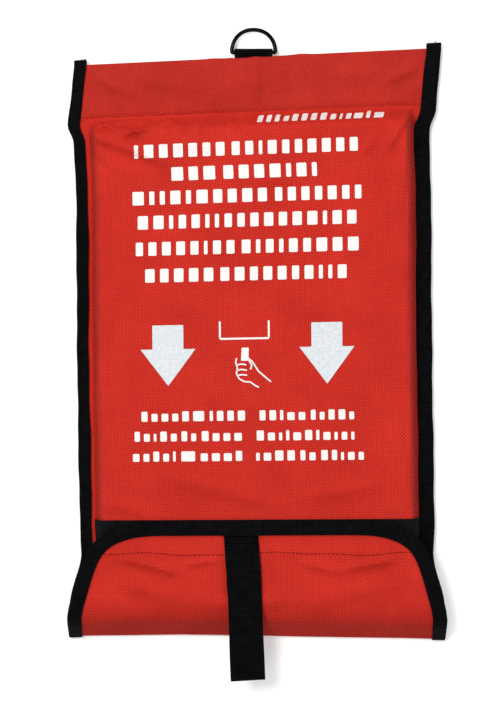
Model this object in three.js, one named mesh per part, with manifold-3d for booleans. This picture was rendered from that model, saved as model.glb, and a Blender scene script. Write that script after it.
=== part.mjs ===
// A fire blanket in its hanging pouch: a folded glass-cloth sheet in a red cloth pouch that opens at the
// bottom. Cloth closes the mouth from below, turns up over the front as a flap and is held there by hook
// and loop; a webbing strap rips it open. The pouch hangs from a D-ring in its header.
// Millimetres. +Z is up, +X to the right and -Y towards the viewer. The pieces are laid out from the back
// panel's outer face (y = 0), the bottom fold (z = 0) and the middle (x = 0), and the whole pouch is then
// moved so that the point where a hook carries the ring is the origin.
import * as THREE from "three";
import { mergeVertices } from "three/addons/utils/BufferGeometryUtils.js";
import Module from "manifold-3d";

const wasm = await Module();
wasm.setup();

// ---- driving dimensions ----
const gap = 0.3; // air between pieces that touch
const cloth = 0.6; // coated woven cloth
const tape = 0.7; // binding tape, one layer

// the folded blanket: a sheet folded in seven across and in five along
const foldedWidth = 214.3;
const foldedHeight = 360;
const runs = 5;
const runThickness = 3.4; // seven layers of glass cloth
const runGap = 0.2;
const foldClearance = 1.2; // between the blanket's lower end and the cloth under it

// pouch
const sideSlope = 10.7; // where the front panel comes back to the back panel beside the blanket
const topSlope = 14;
const blanketFit = 1.35; // room beside the blanket
const headRoom = 2; // room above the blanket
const bindingWidth = 10;
const bindingFit = 0.4; // from the side binding to the foot of the front panel's slope
const bindingProud = 3.5; // the side bindings stand up past the header
const headerHeight = 40;
const headerFlare = 4; // the flat header is wider than the filled pocket, on each side
const baseFlare = 9.4; // and so is the flat cloth at the bottom
const seamAllowance = 10; // the front panel's upper edge under the header

// mouth, fold and flap
const mouthHeight = 61; // the front panel's lower edge
const foldRise = 17; // the front crease stands this high over the back crease
const flapTop = 85.5;
const flapCorner = 50; // how far in and down the flap's corners are rounded
const flapTaper = 1.5;
const flapBindingWidth = 11.7;
const hookWidth = 25; // hook tape and loop tape
const hookThickness = 1.2;
const hookLength = 180;

// webbing and ring
const strapWidth = 25;
const strapThickness = 1.2;
const strapTail = 32; // the strap's end hangs this far under the fold
const strapOffset = -11.8; // its sewn end's middle
const strapLean = 3.1; // degrees
const strapSlant = 2; // of its cut end
const ringWire = 3;
const ringWidth = 32.2; // between the wire's centre lines
const ringHeight = 16.7;
const ringCorner = 2;
const ringOffset = -3;
const barHeight = 3.2; // the ring's bar over the header's upper edge
const tabThickness = 1.2; // the two plies of the tab together
const tabDepth = 18; // of the tab inside the header
const pullTapeWidth = 25;
const pullTapeLength = 58;
const pullTapeOffset = 55;
const thread = 0.5;

// ---- sizes that follow ----
const edgeInset = tape + gap; // from a binding's outer edge to the cloth's edge inside it
const backInner = -cloth;
const pileThickness = runs * runThickness + (runs - 1) * runGap;
const pileBack = backInner - 2 * gap;
const pileFront = pileBack - pileThickness;
const pullTapeBack = pileFront - gap;
const pocketInner = pullTapeBack - strapThickness - 2 * gap - 0.1;
const flangeInner = backInner - gap; // the front panel where it lies on the back panel
const pocketDepth = flangeInner - pocketInner;
const slopeFoot = foldedWidth / 2 + blanketFit + sideSlope;
const waistHalf = slopeFoot + bindingFit + bindingWidth;
const headerHalf = waistHalf + headerFlare;
const baseHalf = waistHalf + baseFlare;

// layers in front of the pocket, from the front panel outwards
const loopBack = pocketInner - cloth - gap;
const hookBack = loopBack - hookThickness - gap;
const innerLegBack = hookBack - hookThickness - gap;
const flapMiddle = innerLegBack - tape - gap - cloth / 2;
const outerLegFront = flapMiddle - cloth / 2 - gap - tape;

// creases, as [y, z]
const backCrease = [-cloth / 2, 0];
const frontCrease = [flapMiddle, foldRise];
const foldReach = backCrease[0] - frontCrease[0];
const foldLength = Math.hypot(foldReach, foldRise);
const foldAngle = Math.atan2(foldReach, foldRise); // from straight up

// the blanket stands on a round lower end that clears the fold
const pileRadius = pileThickness / 2;
const pileMiddle = (pileBack + pileFront) / 2;
const pileReach = backCrease[0] - pileMiddle;
const roundCentre =
  (pileRadius + cloth / 2 + foldClearance + pileReach * Math.cos(foldAngle)) / Math.sin(foldAngle);
const pileBottom = roundCentre - pileRadius;
const pileTop = pileBottom + foldedHeight;
const slopeTop = pileTop + headRoom + topSlope;
const headerEdge = slopeTop + 1;
const pouchTop = headerEdge + headerHeight;

const bar = [flangeInner - tabThickness / 2, pouchTop + barHeight];
const hangPoint = [ringOffset, bar[0], bar[1] + ringHeight - ringWire / 2];

// ---- materials ----
const finish = (color, roughness, metalness = 0) =>
  new THREE.MeshStandardMaterial({ color, roughness, metalness });
const redCloth = finish(0xc92a20, 0.75);
const blackTape = finish(0x121314, 0.85);
const blackThread = finish(0x1a1a1b, 0.7);
const redThread = finish(0xa8231b, 0.7);
const blackEnamel = finish(0x101112, 0.25, 0.2);
const glassCloth = finish(0xe9e6dc, 0.8);

// ---- helpers ----
const pouch = new THREE.Group();
pouch.position.set(-hangPoint[0], -hangPoint[1], -hangPoint[2]);
const part = new THREE.Group();
part.add(pouch);

function place(parent, name, geometry, material) {
  const mesh = new THREE.Mesh(geometry, material);
  mesh.name = name;
  parent.add(mesh);
  return mesh;
}

function toSolid(geometry) {
  const plain = geometry.clone();
  plain.deleteAttribute("normal");
  plain.deleteAttribute("uv");
  const merged = mergeVertices(plain, 1e-4);
  return new wasm.Manifold(
    new wasm.Mesh({
      numProp: 3,
      vertProperties: merged.attributes.position.array,
      triVerts: new Uint32Array(merged.index.array),
    }),
  );
}

function fromSolid(solid) {
  const mesh = solid.getMesh();
  const geometry = new THREE.BufferGeometry();
  geometry.setAttribute("position", new THREE.BufferAttribute(mesh.vertProperties, 3));
  geometry.setIndex(new THREE.BufferAttribute(mesh.triVerts, 1));
  geometry.computeVertexNormals();
  return geometry;
}

const cut = (a, b) => fromSolid(toSolid(a).subtract(toSolid(b)));

// A plate drawn in x and z, from its back face y = back to its front face y = front.
function plate(points, back, front) {
  const shape = new THREE.Shape(points.map(([x, z]) => new THREE.Vector2(x, z)));
  const geometry = new THREE.ExtrudeGeometry(shape, { depth: back - front, bevelEnabled: false });
  return geometry.rotateX(Math.PI / 2).translate(0, back, 0);
}

const rectangle = (x0, x1, z0, z1) => [[x0, z0], [x1, z0], [x1, z1], [x0, z1]];

// A rectangular frame of thread, as a box stitch.
function stitchFrame(x0, x1, z0, z1, back, front) {
  const inner = plate(rectangle(x0 + thread, x1 - thread, z0 + thread, z1 - thread), back + 1, front - 1);
  return cut(plate(rectangle(x0, x1, z0, z1), back, front), inner);
}

const ease = (t) => {
  const u = Math.min(1, Math.max(0, t));
  return u * u * (3 - 2 * u);
};

// Heights where the pouch's outline changes width, with its half width there.
const outlineStops = [
  [0, baseHalf],
  [foldRise + 3, baseHalf],
  [mouthHeight + 1, waistHalf],
  [slopeTop - topSlope - 4, waistHalf],
  [slopeTop - 4, headerHalf],
  [pouchTop + bindingProud, headerHalf],
];

function halfWidth(z) {
  let i = 1;
  while (i < outlineStops.length - 1 && z > outlineStops[i][0]) i += 1;
  const [z0, w0] = outlineStops[i - 1];
  const [z1, w1] = outlineStops[i];
  return w0 + (w1 - w0) * ease((z - z0) / (z1 - z0));
}

// The heights at which the outline is drawn between two ends.
function outlineHeights(low, high) {
  const heights = [];
  const steps = 6;
  outlineStops.slice(1).forEach(([z1, w1], i) => {
    const [z0, w0] = outlineStops[i];
    for (let k = 0; k < steps; k += 1) {
      if (k === 0 || w0 !== w1) heights.push(z0 + ((z1 - z0) * k) / steps);
    }
  });
  return [low, ...heights.filter((z) => z > low + 0.5 && z < high - 0.5), high];
}

// A strip along one side of the pouch, between two insets from its outline.
function sideStrip(side, outer, inner, low, high) {
  const heights = outlineHeights(low, high);
  const up = heights.map((z) => [side * (halfWidth(z) - outer), z]);
  const down = heights.map((z) => [side * (halfWidth(z) - inner), z]).reverse();
  return [...up, ...down];
}

function wholeOutline(inset, low, high) {
  const heights = outlineHeights(low, high);
  const right = heights.map((z) => [halfWidth(z) - inset, z]);
  const left = heights.map((z) => [inset - halfWidth(z), z]).reverse();
  return [...right, ...left];
}

// A closed sheet between two offsets along the normal of a surface y(x, z), on a grid of columns and rows.
function sheet(columnsAt, rows, surface, near, far) {
  const step = 0.05;
  const point = (x, z, offset) => {
    const dx = (surface(x + step, z) - surface(x - step, z)) / (2 * step);
    const dz = (surface(x, z + step) - surface(x, z - step)) / (2 * step);
    const length = Math.hypot(dx, 1, dz);
    return [x + (dx * offset) / length, surface(x, z) - offset / length, z + (dz * offset) / length];
  };
  const grid = rows.map((z) => columnsAt(z).map((x) => [x, z]));
  const wide = grid[0].length;
  const tall = rows.length;
  const layer = (offset) => grid.flat().map(([x, z]) => point(x, z, offset));
  const positions = [...layer(near), ...layer(far)].flat();
  const index = [];
  const count = wide * tall;
  const quad = (a, b, c, d) => index.push(a, b, c, a, c, d);
  for (let r = 0; r < tall - 1; r += 1) {
    for (let c = 0; c < wide - 1; c += 1) {
      const a = r * wide + c;
      quad(a, a + wide, a + wide + 1, a + 1);
      quad(a + count, a + count + 1, a + count + wide + 1, a + count + wide);
    }
  }
  for (let c = 0; c < wide - 1; c += 1) {
    const top = (tall - 1) * wide + c;
    quad(c, c + 1, c + 1 + count, c + count);
    quad(top + 1, top, top + count, top + 1 + count);
  }
  for (let r = 0; r < tall - 1; r += 1) {
    const left = r * wide;
    const right = left + wide - 1;
    quad(left + wide, left, left + count, left + wide + count);
    quad(right, right + wide, right + wide + count, right + count);
  }
  const geometry = new THREE.BufferGeometry();
  geometry.setAttribute("position", new THREE.Float32BufferAttribute(positions, 3));
  geometry.setIndex(index);
  geometry.computeVertexNormals();
  return geometry;
}

const mirrored = (values) => [...values.map((x) => -x).reverse(), ...values];
const evenly = (from, to, steps) =>
  Array.from({ length: steps + 1 }, (_, i) => from + ((to - from) * i) / steps);

// Two lists of heights as one, without near copies.
const merged = (a, b) =>
  [...a, ...b].sort((p, q) => p - q).filter((z, i, all) => i === 0 || z > all[i - 1] + 1e-6);

// The front panel's inner surface: a tray over the blanket that comes back to the back panel all round.
const pocketSurface = (x, z) => {
  const across = ease((slopeFoot - Math.abs(x)) / sideSlope);
  const down = ease((slopeTop - z) / topSlope);
  return flangeInner - pocketDepth * across * down;
};
const slopeColumns = evenly(slopeFoot - sideSlope, slopeFoot, 5);

// ---- pouch: cloth, header and bindings ----
function backPanel() {
  return plate(wholeOutline(edgeInset, backCrease[1] + 0.45, pouchTop), 0, backInner);
}

function frontPanel() {
  const columnsAt = (z) => mirrored([...slopeColumns, halfWidth(z) - edgeInset]);
  const slope = evenly(slopeTop - topSlope, slopeTop, 6);
  const rows = merged(outlineHeights(mouthHeight, headerEdge + seamAllowance), slope);
  return sheet(columnsAt, rows, pocketSurface, 0, cloth);
}

// The header's front layer stands off the front panel's upper edge, and a little more round the tab.
const headerLift = cloth + gap;
const tabRoom = tabThickness + 2 * gap - (headerLift + gap);
const tabHalf = ringWidth / 2 - ringCorner - 0.1;
const headerSurface = (x, z) => {
  const across = ease((tabHalf + 8 - Math.abs(x - ringOffset)) / 6);
  const up = ease((z - (pouchTop - tabDepth - 8)) / 6);
  return flangeInner - headerLift - tabRoom * across * up;
};

function headerBand() {
  const bumpColumns = [...evenly(-tabHalf - 8, -tabHalf - 2, 3), ...evenly(tabHalf + 2, tabHalf + 8, 3)];
  const edge = headerHalf - edgeInset;
  const columns = [-edge, ...bumpColumns.map((x) => x + ringOffset), edge];
  const rise = evenly(pouchTop - tabDepth - 8, pouchTop - tabDepth - 2, 3);
  return sheet(() => columns, [headerEdge, ...rise, pouchTop], headerSurface, 0, cloth);
}

const headerFront = flangeInner - headerLift - cloth;
const bindingBack = gap + tape;
const bindingFront = headerFront - gap - tape;

// A tape folded round the pouch's edge, open towards the cloth.
function sideBinding(side) {
  const low = 4.2;
  const whole = plate(
    sideStrip(side, 0, bindingWidth, low, pouchTop + bindingProud),
    bindingBack,
    bindingFront,
  );
  const slot = plate(
    sideStrip(side, tape, bindingWidth + 2, low - 1, pouchTop + bindingProud + 1),
    bindingBack - tape,
    bindingFront + tape,
  );
  return cut(whole, slot);
}

function bindingThread(side) {
  const front = bindingFront - gap;
  const low = mouthHeight - 8;
  return plate(
    sideStrip(side, bindingWidth - 2, bindingWidth - 2 + thread, low, pouchTop),
    front,
    front - thread,
  );
}

function loopStrip() {
  const columns = mirrored(slopeColumns.slice(0, -1));
  const near = cloth + gap;
  return sheet(
    () => columns,
    [mouthHeight + gap, mouthHeight + gap + hookWidth],
    pocketSurface,
    near,
    near + hookThickness,
  );
}

function headerSeamThread() {
  const half = waistHalf - bindingWidth - 1;
  const front = headerFront - gap;
  return plate(rectangle(-half, half, headerEdge + 1.2, headerEdge + 1.2 + thread), front, front - thread);
}

place(pouch, "back_panel", backPanel(), redCloth);
place(pouch, "front_panel", frontPanel(), redCloth);
place(pouch, "header_band", headerBand(), redCloth);
place(pouch, "left_side_binding", sideBinding(-1), blackTape);
place(pouch, "right_side_binding", sideBinding(1), blackTape);
place(pouch, "left_binding_thread", bindingThread(-1), blackThread);
place(pouch, "right_binding_thread", bindingThread(1), blackThread);
place(pouch, "loop_strip", loopStrip(), blackTape);
place(pouch, "header_seam_thread", headerSeamThread(), redThread);

// ---- ring and its tab ----
// Webbing looped round the ring's bar, with both plies sewn together inside the header.
function ringTab() {
  const outer = ringWire / 2 + gap + 0.9;
  const half = tabThickness / 2;
  const neck = Math.asin(half / outer);
  const shape = new THREE.Shape();
  shape.moveTo(-half, -barHeight - tabDepth);
  shape.lineTo(half, -barHeight - tabDepth);
  shape.absarc(0, 0, outer, neck - Math.PI / 2, 1.5 * Math.PI - neck, false);
  shape.closePath();
  const bore = new THREE.Path();
  bore.absarc(0, 0, ringWire / 2 + gap, 0, 2 * Math.PI, true);
  shape.holes.push(bore);
  const geometry = new THREE.ExtrudeGeometry(shape, {
    depth: 2 * tabHalf,
    bevelEnabled: false,
    curveSegments: 14,
  });
  geometry.rotateX(Math.PI / 2).rotateZ(Math.PI / 2);
  return geometry.translate(ringOffset - tabHalf, bar[0], bar[1]);
}

// The ring's centre line: a straight bar, tight lower corners and a round arch.
class RingLine extends THREE.Curve {
  constructor() {
    super();
    const half = ringWidth / 2;
    const bend = (x, z, r, tall, from, to, steps) =>
      evenly(from, to, steps).map((a) => [x + r * Math.cos(a), z + tall * Math.sin(a)]);
    const q = Math.PI / 2;
    this.points = [
      ...evenly(ringCorner - half, half - ringCorner, 6).map((x) => [x, 0]),
      ...bend(half - ringCorner, ringCorner, ringCorner, ringCorner, -q, 0, 4).slice(1),
      ...bend(0, ringCorner, half, ringHeight - ringCorner, 0, 2 * q, 20).slice(1),
      ...bend(ringCorner - half, ringCorner, ringCorner, ringCorner, 2 * q, 3 * q, 4).slice(1),
    ];
  }
  getPoint(t, target = new THREE.Vector3()) {
    const last = this.points.length - 1;
    const place = Math.min(Math.max(t, 0), 1) * last;
    const i = Math.min(Math.floor(place), last - 1);
    const [a, b] = [this.points[i], this.points[i + 1]];
    const u = place - i;
    return target.set(a[0] + (b[0] - a[0]) * u, 0, a[1] + (b[1] - a[1]) * u);
  }
}

function hangRing() {
  const geometry = new THREE.TubeGeometry(new RingLine(), 56, ringWire / 2, 10, true);
  return geometry.translate(ringOffset, bar[0], bar[1]);
}

function tabStitches() {
  const half = tabHalf - 3;
  const top = pouchTop - 6;
  return stitchFrame(ringOffset - half, ringOffset + half, top - 9, top, gap + thread, gap);
}

place(pouch, "ring_tab", ringTab(), blackTape);
place(pouch, "tab_stitches", tabStitches(), blackThread);
place(pouch, "hang_ring", hangRing(), blackEnamel);

// ---- fold: the cloth under the mouth, with its stretch of binding ----
// It is drawn standing up from the back crease and then leans forward to the front crease.
const foldGroup = new THREE.Group();
foldGroup.position.set(0, ...backCrease);
foldGroup.rotation.x = foldAngle;
pouch.add(foldGroup);

const bindingHalf = cloth / 2 + gap + tape; // of the tape round a single layer of cloth

function mouthFold() {
  const half = baseHalf - edgeInset;
  return plate(rectangle(-half, half, 1, foldLength - 0.5), cloth / 2, -cloth / 2);
}

function foldBinding(side) {
  const strip = (outer, inner, low, high) => {
    const [a, b] = [side * (baseHalf - outer), side * (baseHalf - inner)];
    return rectangle(Math.min(a, b), Math.max(a, b), low, high);
  };
  const whole = plate(strip(0, bindingWidth, 2, foldLength - 1), bindingHalf, -bindingHalf);
  const inside = bindingHalf - tape;
  return cut(whole, plate(strip(tape, bindingWidth + 2, 1, foldLength), inside, -inside));
}

place(foldGroup, "mouth_fold", mouthFold(), redCloth);
place(foldGroup, "left_fold_binding", foldBinding(-1), blackTape);
place(foldGroup, "right_fold_binding", foldBinding(1), blackTape);

// ---- flap ----
// The flap's outline with rounded upper corners, drawn inwards by an inset.
function flapOutline(inset, low) {
  const half = baseHalf - inset;
  const side = half - flapTaper;
  const round = flapCorner - inset;
  const centre = [baseHalf - flapTaper - flapCorner, flapTop - flapCorner];
  const corner = evenly(0, Math.PI / 2, 12).map((a) => [
    centre[0] + (side - centre[0]) * Math.cos(a),
    centre[1] + round * Math.sin(a),
  ]);
  const right = [[half, low], ...corner];
  return [...right, ...right.map(([x, z]) => [-x, z]).reverse()];
}

const flapLow = foldRise + 1;

function closureFlap() {
  return plate(
    flapOutline(edgeInset, foldRise + 0.5),
    flapMiddle + cloth / 2,
    flapMiddle - cloth / 2,
  );
}

function flapBinding() {
  const whole = plate(flapOutline(0, flapLow), flapMiddle + bindingHalf, flapMiddle - bindingHalf);
  const face = plate(
    flapOutline(flapBindingWidth, flapLow - 2),
    flapMiddle + bindingHalf + 1,
    flapMiddle - bindingHalf - 1,
  );
  const inside = bindingHalf - tape;
  const slot = plate(flapOutline(tape, flapLow - 1), flapMiddle + inside, flapMiddle - inside);
  return fromSolid(toSolid(whole).subtract(toSolid(face)).subtract(toSolid(slot)));
}

function flapBindingThread() {
  const back = outerLegFront - gap;
  const inset = flapBindingWidth - 2;
  const outer = plate(flapOutline(inset - thread, flapLow + 2), back, back - thread);
  return cut(outer, plate(flapOutline(inset, flapLow), back + 1, back - thread - 1));
}

const hookLow = mouthHeight - 1;

function hookStrip() {
  const half = hookLength / 2;
  const top = Math.min(hookLow + hookWidth, flapTop - tape);
  return plate(rectangle(-half, half, hookLow, top), hookBack, hookBack - hookThickness);
}

function hookStripThread() {
  const half = hookLength / 2;
  const back = flapMiddle - cloth / 2 - gap;
  return plate(rectangle(-half, half, hookLow + 1.5, hookLow + 1.5 + thread), back, back - thread);
}

place(pouch, "closure_flap", closureFlap(), redCloth);
place(pouch, "flap_binding", flapBinding(), blackTape);
place(pouch, "flap_binding_thread", flapBindingThread(), blackThread);
place(pouch, "hook_strip", hookStrip(), blackTape);
place(pouch, "hook_strip_thread", hookStripThread(), redThread);

// ---- pull strap ----
const sewnBack = outerLegFront - gap - thread - gap; // over the flap binding's thread
const sewnFront = sewnBack - strapThickness;
const sewnLow = flapTop - flapBindingWidth + 1;
const strapBack = sewnFront - gap - thread - gap; // hangs clear of the box stitch

function strapSewnEnd() {
  const [left, right] = [strapOffset - strapWidth / 2, strapOffset + strapWidth / 2];
  return plate(rectangle(left, right, sewnLow, flapTop - 0.5), sewnBack, sewnFront);
}

function strapStitches() {
  const half = strapWidth / 2 - 3;
  const back = sewnFront - gap;
  const [left, right] = [strapOffset - half, strapOffset + half];
  return stitchFrame(left, right, sewnLow + gap, flapTop - 2, back, back - thread);
}

function pullStrap() {
  const half = strapWidth / 2;
  const length = sewnLow + strapTail;
  const outline = [[-half, -length - strapSlant / 2], [half, -length + strapSlant / 2], [half, 0], [-half, 0]];
  const geometry = plate(outline, strapBack, strapBack - strapThickness);
  geometry.rotateY(THREE.MathUtils.degToRad(-strapLean));
  return geometry.translate(strapOffset, 0, sewnLow);
}

place(pouch, "strap_sewn_end", strapSewnEnd(), blackTape);
place(pouch, "strap_stitches", strapStitches(), blackThread);
place(pouch, "pull_strap", pullStrap(), blackTape);

// ---- blanket ----
// One ribbon of seven layers laid to and fro in five runs, with round turns; its ends follow a round pile.
function foldedBlanket() {
  const pitch = runThickness + runGap;
  const turn = pitch / 2;
  const runAt = (k) => pileBack - runThickness / 2 - k * pitch;
  const endOf = (y) => {
    const across = (y - pileMiddle) / pileRadius;
    return pileRadius * (1 - Math.sqrt(Math.max(0, 1 - across * across)));
  };
  const centre = [[runAt(0), pileTop - endOf(runAt(0)) - runThickness / 2]];
  for (let k = 0; k < runs - 1; k += 1) {
    const down = k % 2 === 0;
    const y = (runAt(k) + runAt(k + 1)) / 2;
    const set = endOf(y) + turn + runThickness / 2;
    const z = down ? pileBottom + set : pileTop - set;
    const sign = down ? -1 : 1;
    evenly(0, Math.PI, 6).forEach((a) => {
      centre.push([y + turn * Math.cos(a), z + sign * turn * Math.sin(a)]);
    });
  }
  const lastDown = (runs - 1) % 2 === 0;
  const last = runAt(runs - 1);
  const lastSet = endOf(last) + runThickness / 2;
  centre.push([last, lastDown ? pileBottom + lastSet : pileTop - lastSet]);
  // offset the centre line to both sides
  const side = (sign) =>
    centre.map(([y, z], i) => {
      const [y0, z0] = centre[Math.max(0, i - 1)];
      const [y1, z1] = centre[Math.min(centre.length - 1, i + 1)];
      const length = Math.hypot(y1 - y0, z1 - z0);
      const half = (sign * runThickness) / 2;
      return new THREE.Vector2(y - (half * (z1 - z0)) / length, z + (half * (y1 - y0)) / length);
    });
  const shape = new THREE.Shape([...side(1), ...side(-1).reverse()]);
  const geometry = new THREE.ExtrudeGeometry(shape, { depth: foldedWidth, bevelEnabled: false });
  geometry.rotateX(Math.PI / 2).rotateZ(Math.PI / 2);
  return geometry.translate(-foldedWidth / 2, 0, 0);
}

// A webbing hand tape sewn to the blanket's front fold, lying up its face.
function pullTape(side) {
  const half = pullTapeWidth / 2;
  const low = pileBottom + 2 * runThickness + 6;
  const outline = rectangle(
    side * pullTapeOffset - half,
    side * pullTapeOffset + half,
    low,
    low + pullTapeLength,
  );
  return plate(outline, pullTapeBack, pullTapeBack - strapThickness);
}

place(pouch, "folded_blanket", foldedBlanket(), glassCloth);
place(pouch, "left_pull_tape", pullTape(-1), blackTape);
place(pouch, "right_pull_tape", pullTape(1), blackTape);

export default part;
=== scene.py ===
import math
import random
import bpy
import numpy as np
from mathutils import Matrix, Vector
from mathutils.geometry import delaunay_2d_cdt


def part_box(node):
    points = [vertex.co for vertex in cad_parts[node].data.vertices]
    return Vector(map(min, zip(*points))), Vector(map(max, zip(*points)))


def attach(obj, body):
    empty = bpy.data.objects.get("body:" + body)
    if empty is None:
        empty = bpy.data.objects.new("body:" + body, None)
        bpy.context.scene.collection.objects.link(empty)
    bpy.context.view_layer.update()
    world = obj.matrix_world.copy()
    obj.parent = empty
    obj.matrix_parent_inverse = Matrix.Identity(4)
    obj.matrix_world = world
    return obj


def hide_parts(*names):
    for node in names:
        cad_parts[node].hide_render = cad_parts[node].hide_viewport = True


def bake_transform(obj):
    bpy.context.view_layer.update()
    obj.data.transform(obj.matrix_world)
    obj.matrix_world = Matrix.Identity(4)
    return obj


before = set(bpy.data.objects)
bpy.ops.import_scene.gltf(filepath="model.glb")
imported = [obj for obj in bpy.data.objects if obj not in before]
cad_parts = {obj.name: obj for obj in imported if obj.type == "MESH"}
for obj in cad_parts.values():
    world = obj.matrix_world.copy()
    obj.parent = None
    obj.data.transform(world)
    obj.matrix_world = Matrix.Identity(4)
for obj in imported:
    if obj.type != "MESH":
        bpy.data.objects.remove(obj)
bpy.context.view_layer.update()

dice = random.Random(11)

# A fire blanket in its red hanging pouch. Every length is in millimetres from the middle of the
# back panel's bottom fold: x to the right, y towards the wall, z up.
pouch = {
    "outline": [(0, 139.0), (20, 139.0), (62, 129.6), (367.9, 129.6), (381.9, 133.6), (430.4, 133.6)],
    "height": 427.0,
    "ringLevel": 430.0,
    "topRise": 2.8,       # degrees that the header climbs to the right as the pouch hangs
    "riseCurve": 1.4,
    # height and how far the pouch hangs to the right there
    "sway": [(0, -3.3), (60, -3.3), (76, -3.0), (100, -3.6), (173, -4.8), (254, -5.6), (325, -5.9),
             (352, -7.0), (372, -7.4), (380, -7.5), (424, -3.0), (460, -2.6)],
    # height and how much wider than the pattern the stuffed pouch lies there
    "spread": [(0, 1.0), (60, 1.0), (80, 1.011), (360, 1.011), (385, 1.018), (430, 1.015), (460, 1.0)],
    # across and how far the bottom edge hangs down there
    "dip": [(-139, 1.5), (-123, 0.8), (-100, 0.6), (-57, 0.0), (-5, 0.7), (31, 1.5), (68, 2.1),
            (105, 2.6), (139, 3.4)],
    "dipReach": 60.0,     # from this height up nothing dips
    "cloth": 0.6,
    "tape": 0.7,
    "foldInset": 0.45,    # the back panel starts this far above the fold
}

backLow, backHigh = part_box("back_panel")
middle = (backLow[0] + backHigh[0]) / 2
backFace = backHigh[1]
foldLevel = backLow[2] - pouch["foldInset"] / 1000


def ease(t):
    t = np.clip(t, 0, 1)
    return t * t * (3 - 2 * t)


def inPlace(points, levelAt=None):
    # from the pattern's mm to the frame's metres; levelAt keeps a piece level, at the height that
    # the pouch has at that x
    points = np.asarray(points, float)
    z = points[..., 2]
    x = points[..., 0] if levelAt is None else np.full(z.shape, float(levelAt))
    climb = (np.clip(z, 0, None) / pouch["height"]) ** pouch["riseCurve"]
    rise = x * math.tan(math.radians(pouch["topRise"])) * climb
    dip = np.interp(x, *zip(*pouch["dip"])) * ease(1 - z / pouch["dipReach"])
    placed = points / 1000
    placed[..., 0] *= np.interp(z, *zip(*pouch["spread"])) if levelAt is None else 1.0
    swayZ = z if levelAt is None else pouch["ringLevel"]
    placed[..., 0] += middle + np.interp(swayZ, *zip(*pouch["sway"])) / 1000
    placed[..., 1] += backFace
    placed[..., 2] += foldLevel + (rise - dip) / 1000
    return placed


def spot(x, y, z):
    return tuple(float(value) for value in inPlace([x, y, z]))


def halfWidth(z):
    stops = pouch["outline"]
    wide = np.full(np.shape(z), stops[0][1])
    for (z0, w0), (z1, w1) in zip(stops, stops[1:]):
        wide = wide + (w1 - w0) * ease((np.asarray(z, float) - z0) / (z1 - z0))
    return wide


# the camera

view = {
    "aimX": -3.4,
    "aimY": -10.0,
    "aimZ": 207.3,
    "frameHeight": 520.4,   # what the frame holds at the aim, in mm
    "lens": 135.0,
    "sensor": 36.0,
    "clip": (0.05, 50.0),
}

cameraData = bpy.data.cameras.new("camera")
cameraData.lens = view["lens"]
cameraData.sensor_width = view["sensor"]
cameraData.clip_start, cameraData.clip_end = view["clip"]
camera = bpy.data.objects.new("camera", cameraData)
distance = view["frameHeight"] * view["lens"] / view["sensor"]
camera.location = spot(view["aimX"], view["aimY"] - distance, view["aimZ"])
camera.rotation_euler = (math.radians(90), 0, 0)
bpy.context.scene.collection.objects.link(camera)
bpy.context.scene.camera = camera
print("camera set")


# the materials

def linear(hexColour):
    # an sRGB hex colour as the numbers that a socket takes
    channels = [int(hexColour[k:k + 2], 16) / 255 for k in (1, 3, 5)]
    return [c / 12.92 if c <= 0.04045 else ((c + 0.055) / 1.055) ** 2.4 for c in channels] + [1.0]


def addNode(tree, kind, inputs=(), output=0, **settings):
    # inputs go by place or by name, and each is a value or another node's output
    node = tree.nodes.new("ShaderNode" + kind)
    for key, value in settings.items():
        setattr(node, key, value)
    for key, value in inputs.items() if isinstance(inputs, dict) else enumerate(inputs):
        if isinstance(value, bpy.types.NodeSocket):
            tree.links.new(value, node.inputs[key])
        else:
            node.inputs[key].default_value = value
    return node.outputs[output] if node.outputs else None


def startMaterial(name):
    material = bpy.data.materials.new(name)
    material.use_nodes = True
    material.node_tree.nodes.clear()
    return material, material.node_tree


def finishMaterial(tree, surface, colour, roughness, height, depth, strength):
    # roughness is a texture, its range, and how rough the surface is at either end; depth is in mm
    bump = addNode(tree, "Bump", {"Strength": strength, "Distance": depth / 1000, "Height": height})
    shader = addNode(tree, "BsdfPrincipled", {**surface, "Base Color": colour, "Normal": bump,
                                              "Roughness": addNode(tree, "MapRange", roughness)})
    addNode(tree, "OutputMaterial", [shader])


def counted(tree, across, along, turn=0):
    # places on the cloth, counted once every so many mm across and along it
    uv = addNode(tree, "UVMap", uv_map="cloth")
    return addNode(tree, "Mapping", {"Vector": uv, "Scale": (1000 / across, 1000 / along, 1),
                                     "Rotation": (0, 0, math.radians(turn))})


wavePerCount = 0.31416      # the scale at which a wave texture has one wave a count


def plainWeave(tree, pitch):
    # threads that cross over and under one by one: the height from 0 to 1, and which one is on top
    counts = counted(tree, pitch, pitch)
    wave = {"Vector": counts, "Scale": wavePerCount}
    warp, weft = [addNode(tree, "TexWave", wave, "Fac", bands_direction=way) for way in ("X", "Y")]
    over = addNode(tree, "TexChecker", {"Vector": counts, "Scale": 1.0}, "Fac")
    return addNode(tree, "Mix", {0: over, 2: warp, 3: weft}), over


def ribs(tree, pitch):
    # slightly uneven ribs across a tape, as a height from 0 to 1
    return addNode(tree, "TexWave", {"Vector": counted(tree, pitch, pitch), "Scale": wavePerCount,
                                     "Distortion": 0.35, "Detail": 1.0, "Detail Scale": 3.0},
                   "Fac", bands_direction="Y")


def patches(tree, size, detail, stretch=1.0):
    # soft uneven areas of about this size in mm, drawn out along the cloth by stretch
    return addNode(tree, "TexNoise", {"Vector": counted(tree, size, size * stretch), "Scale": 1.0,
                                      "Detail": detail, "Roughness": 0.6}, "Fac")


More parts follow.
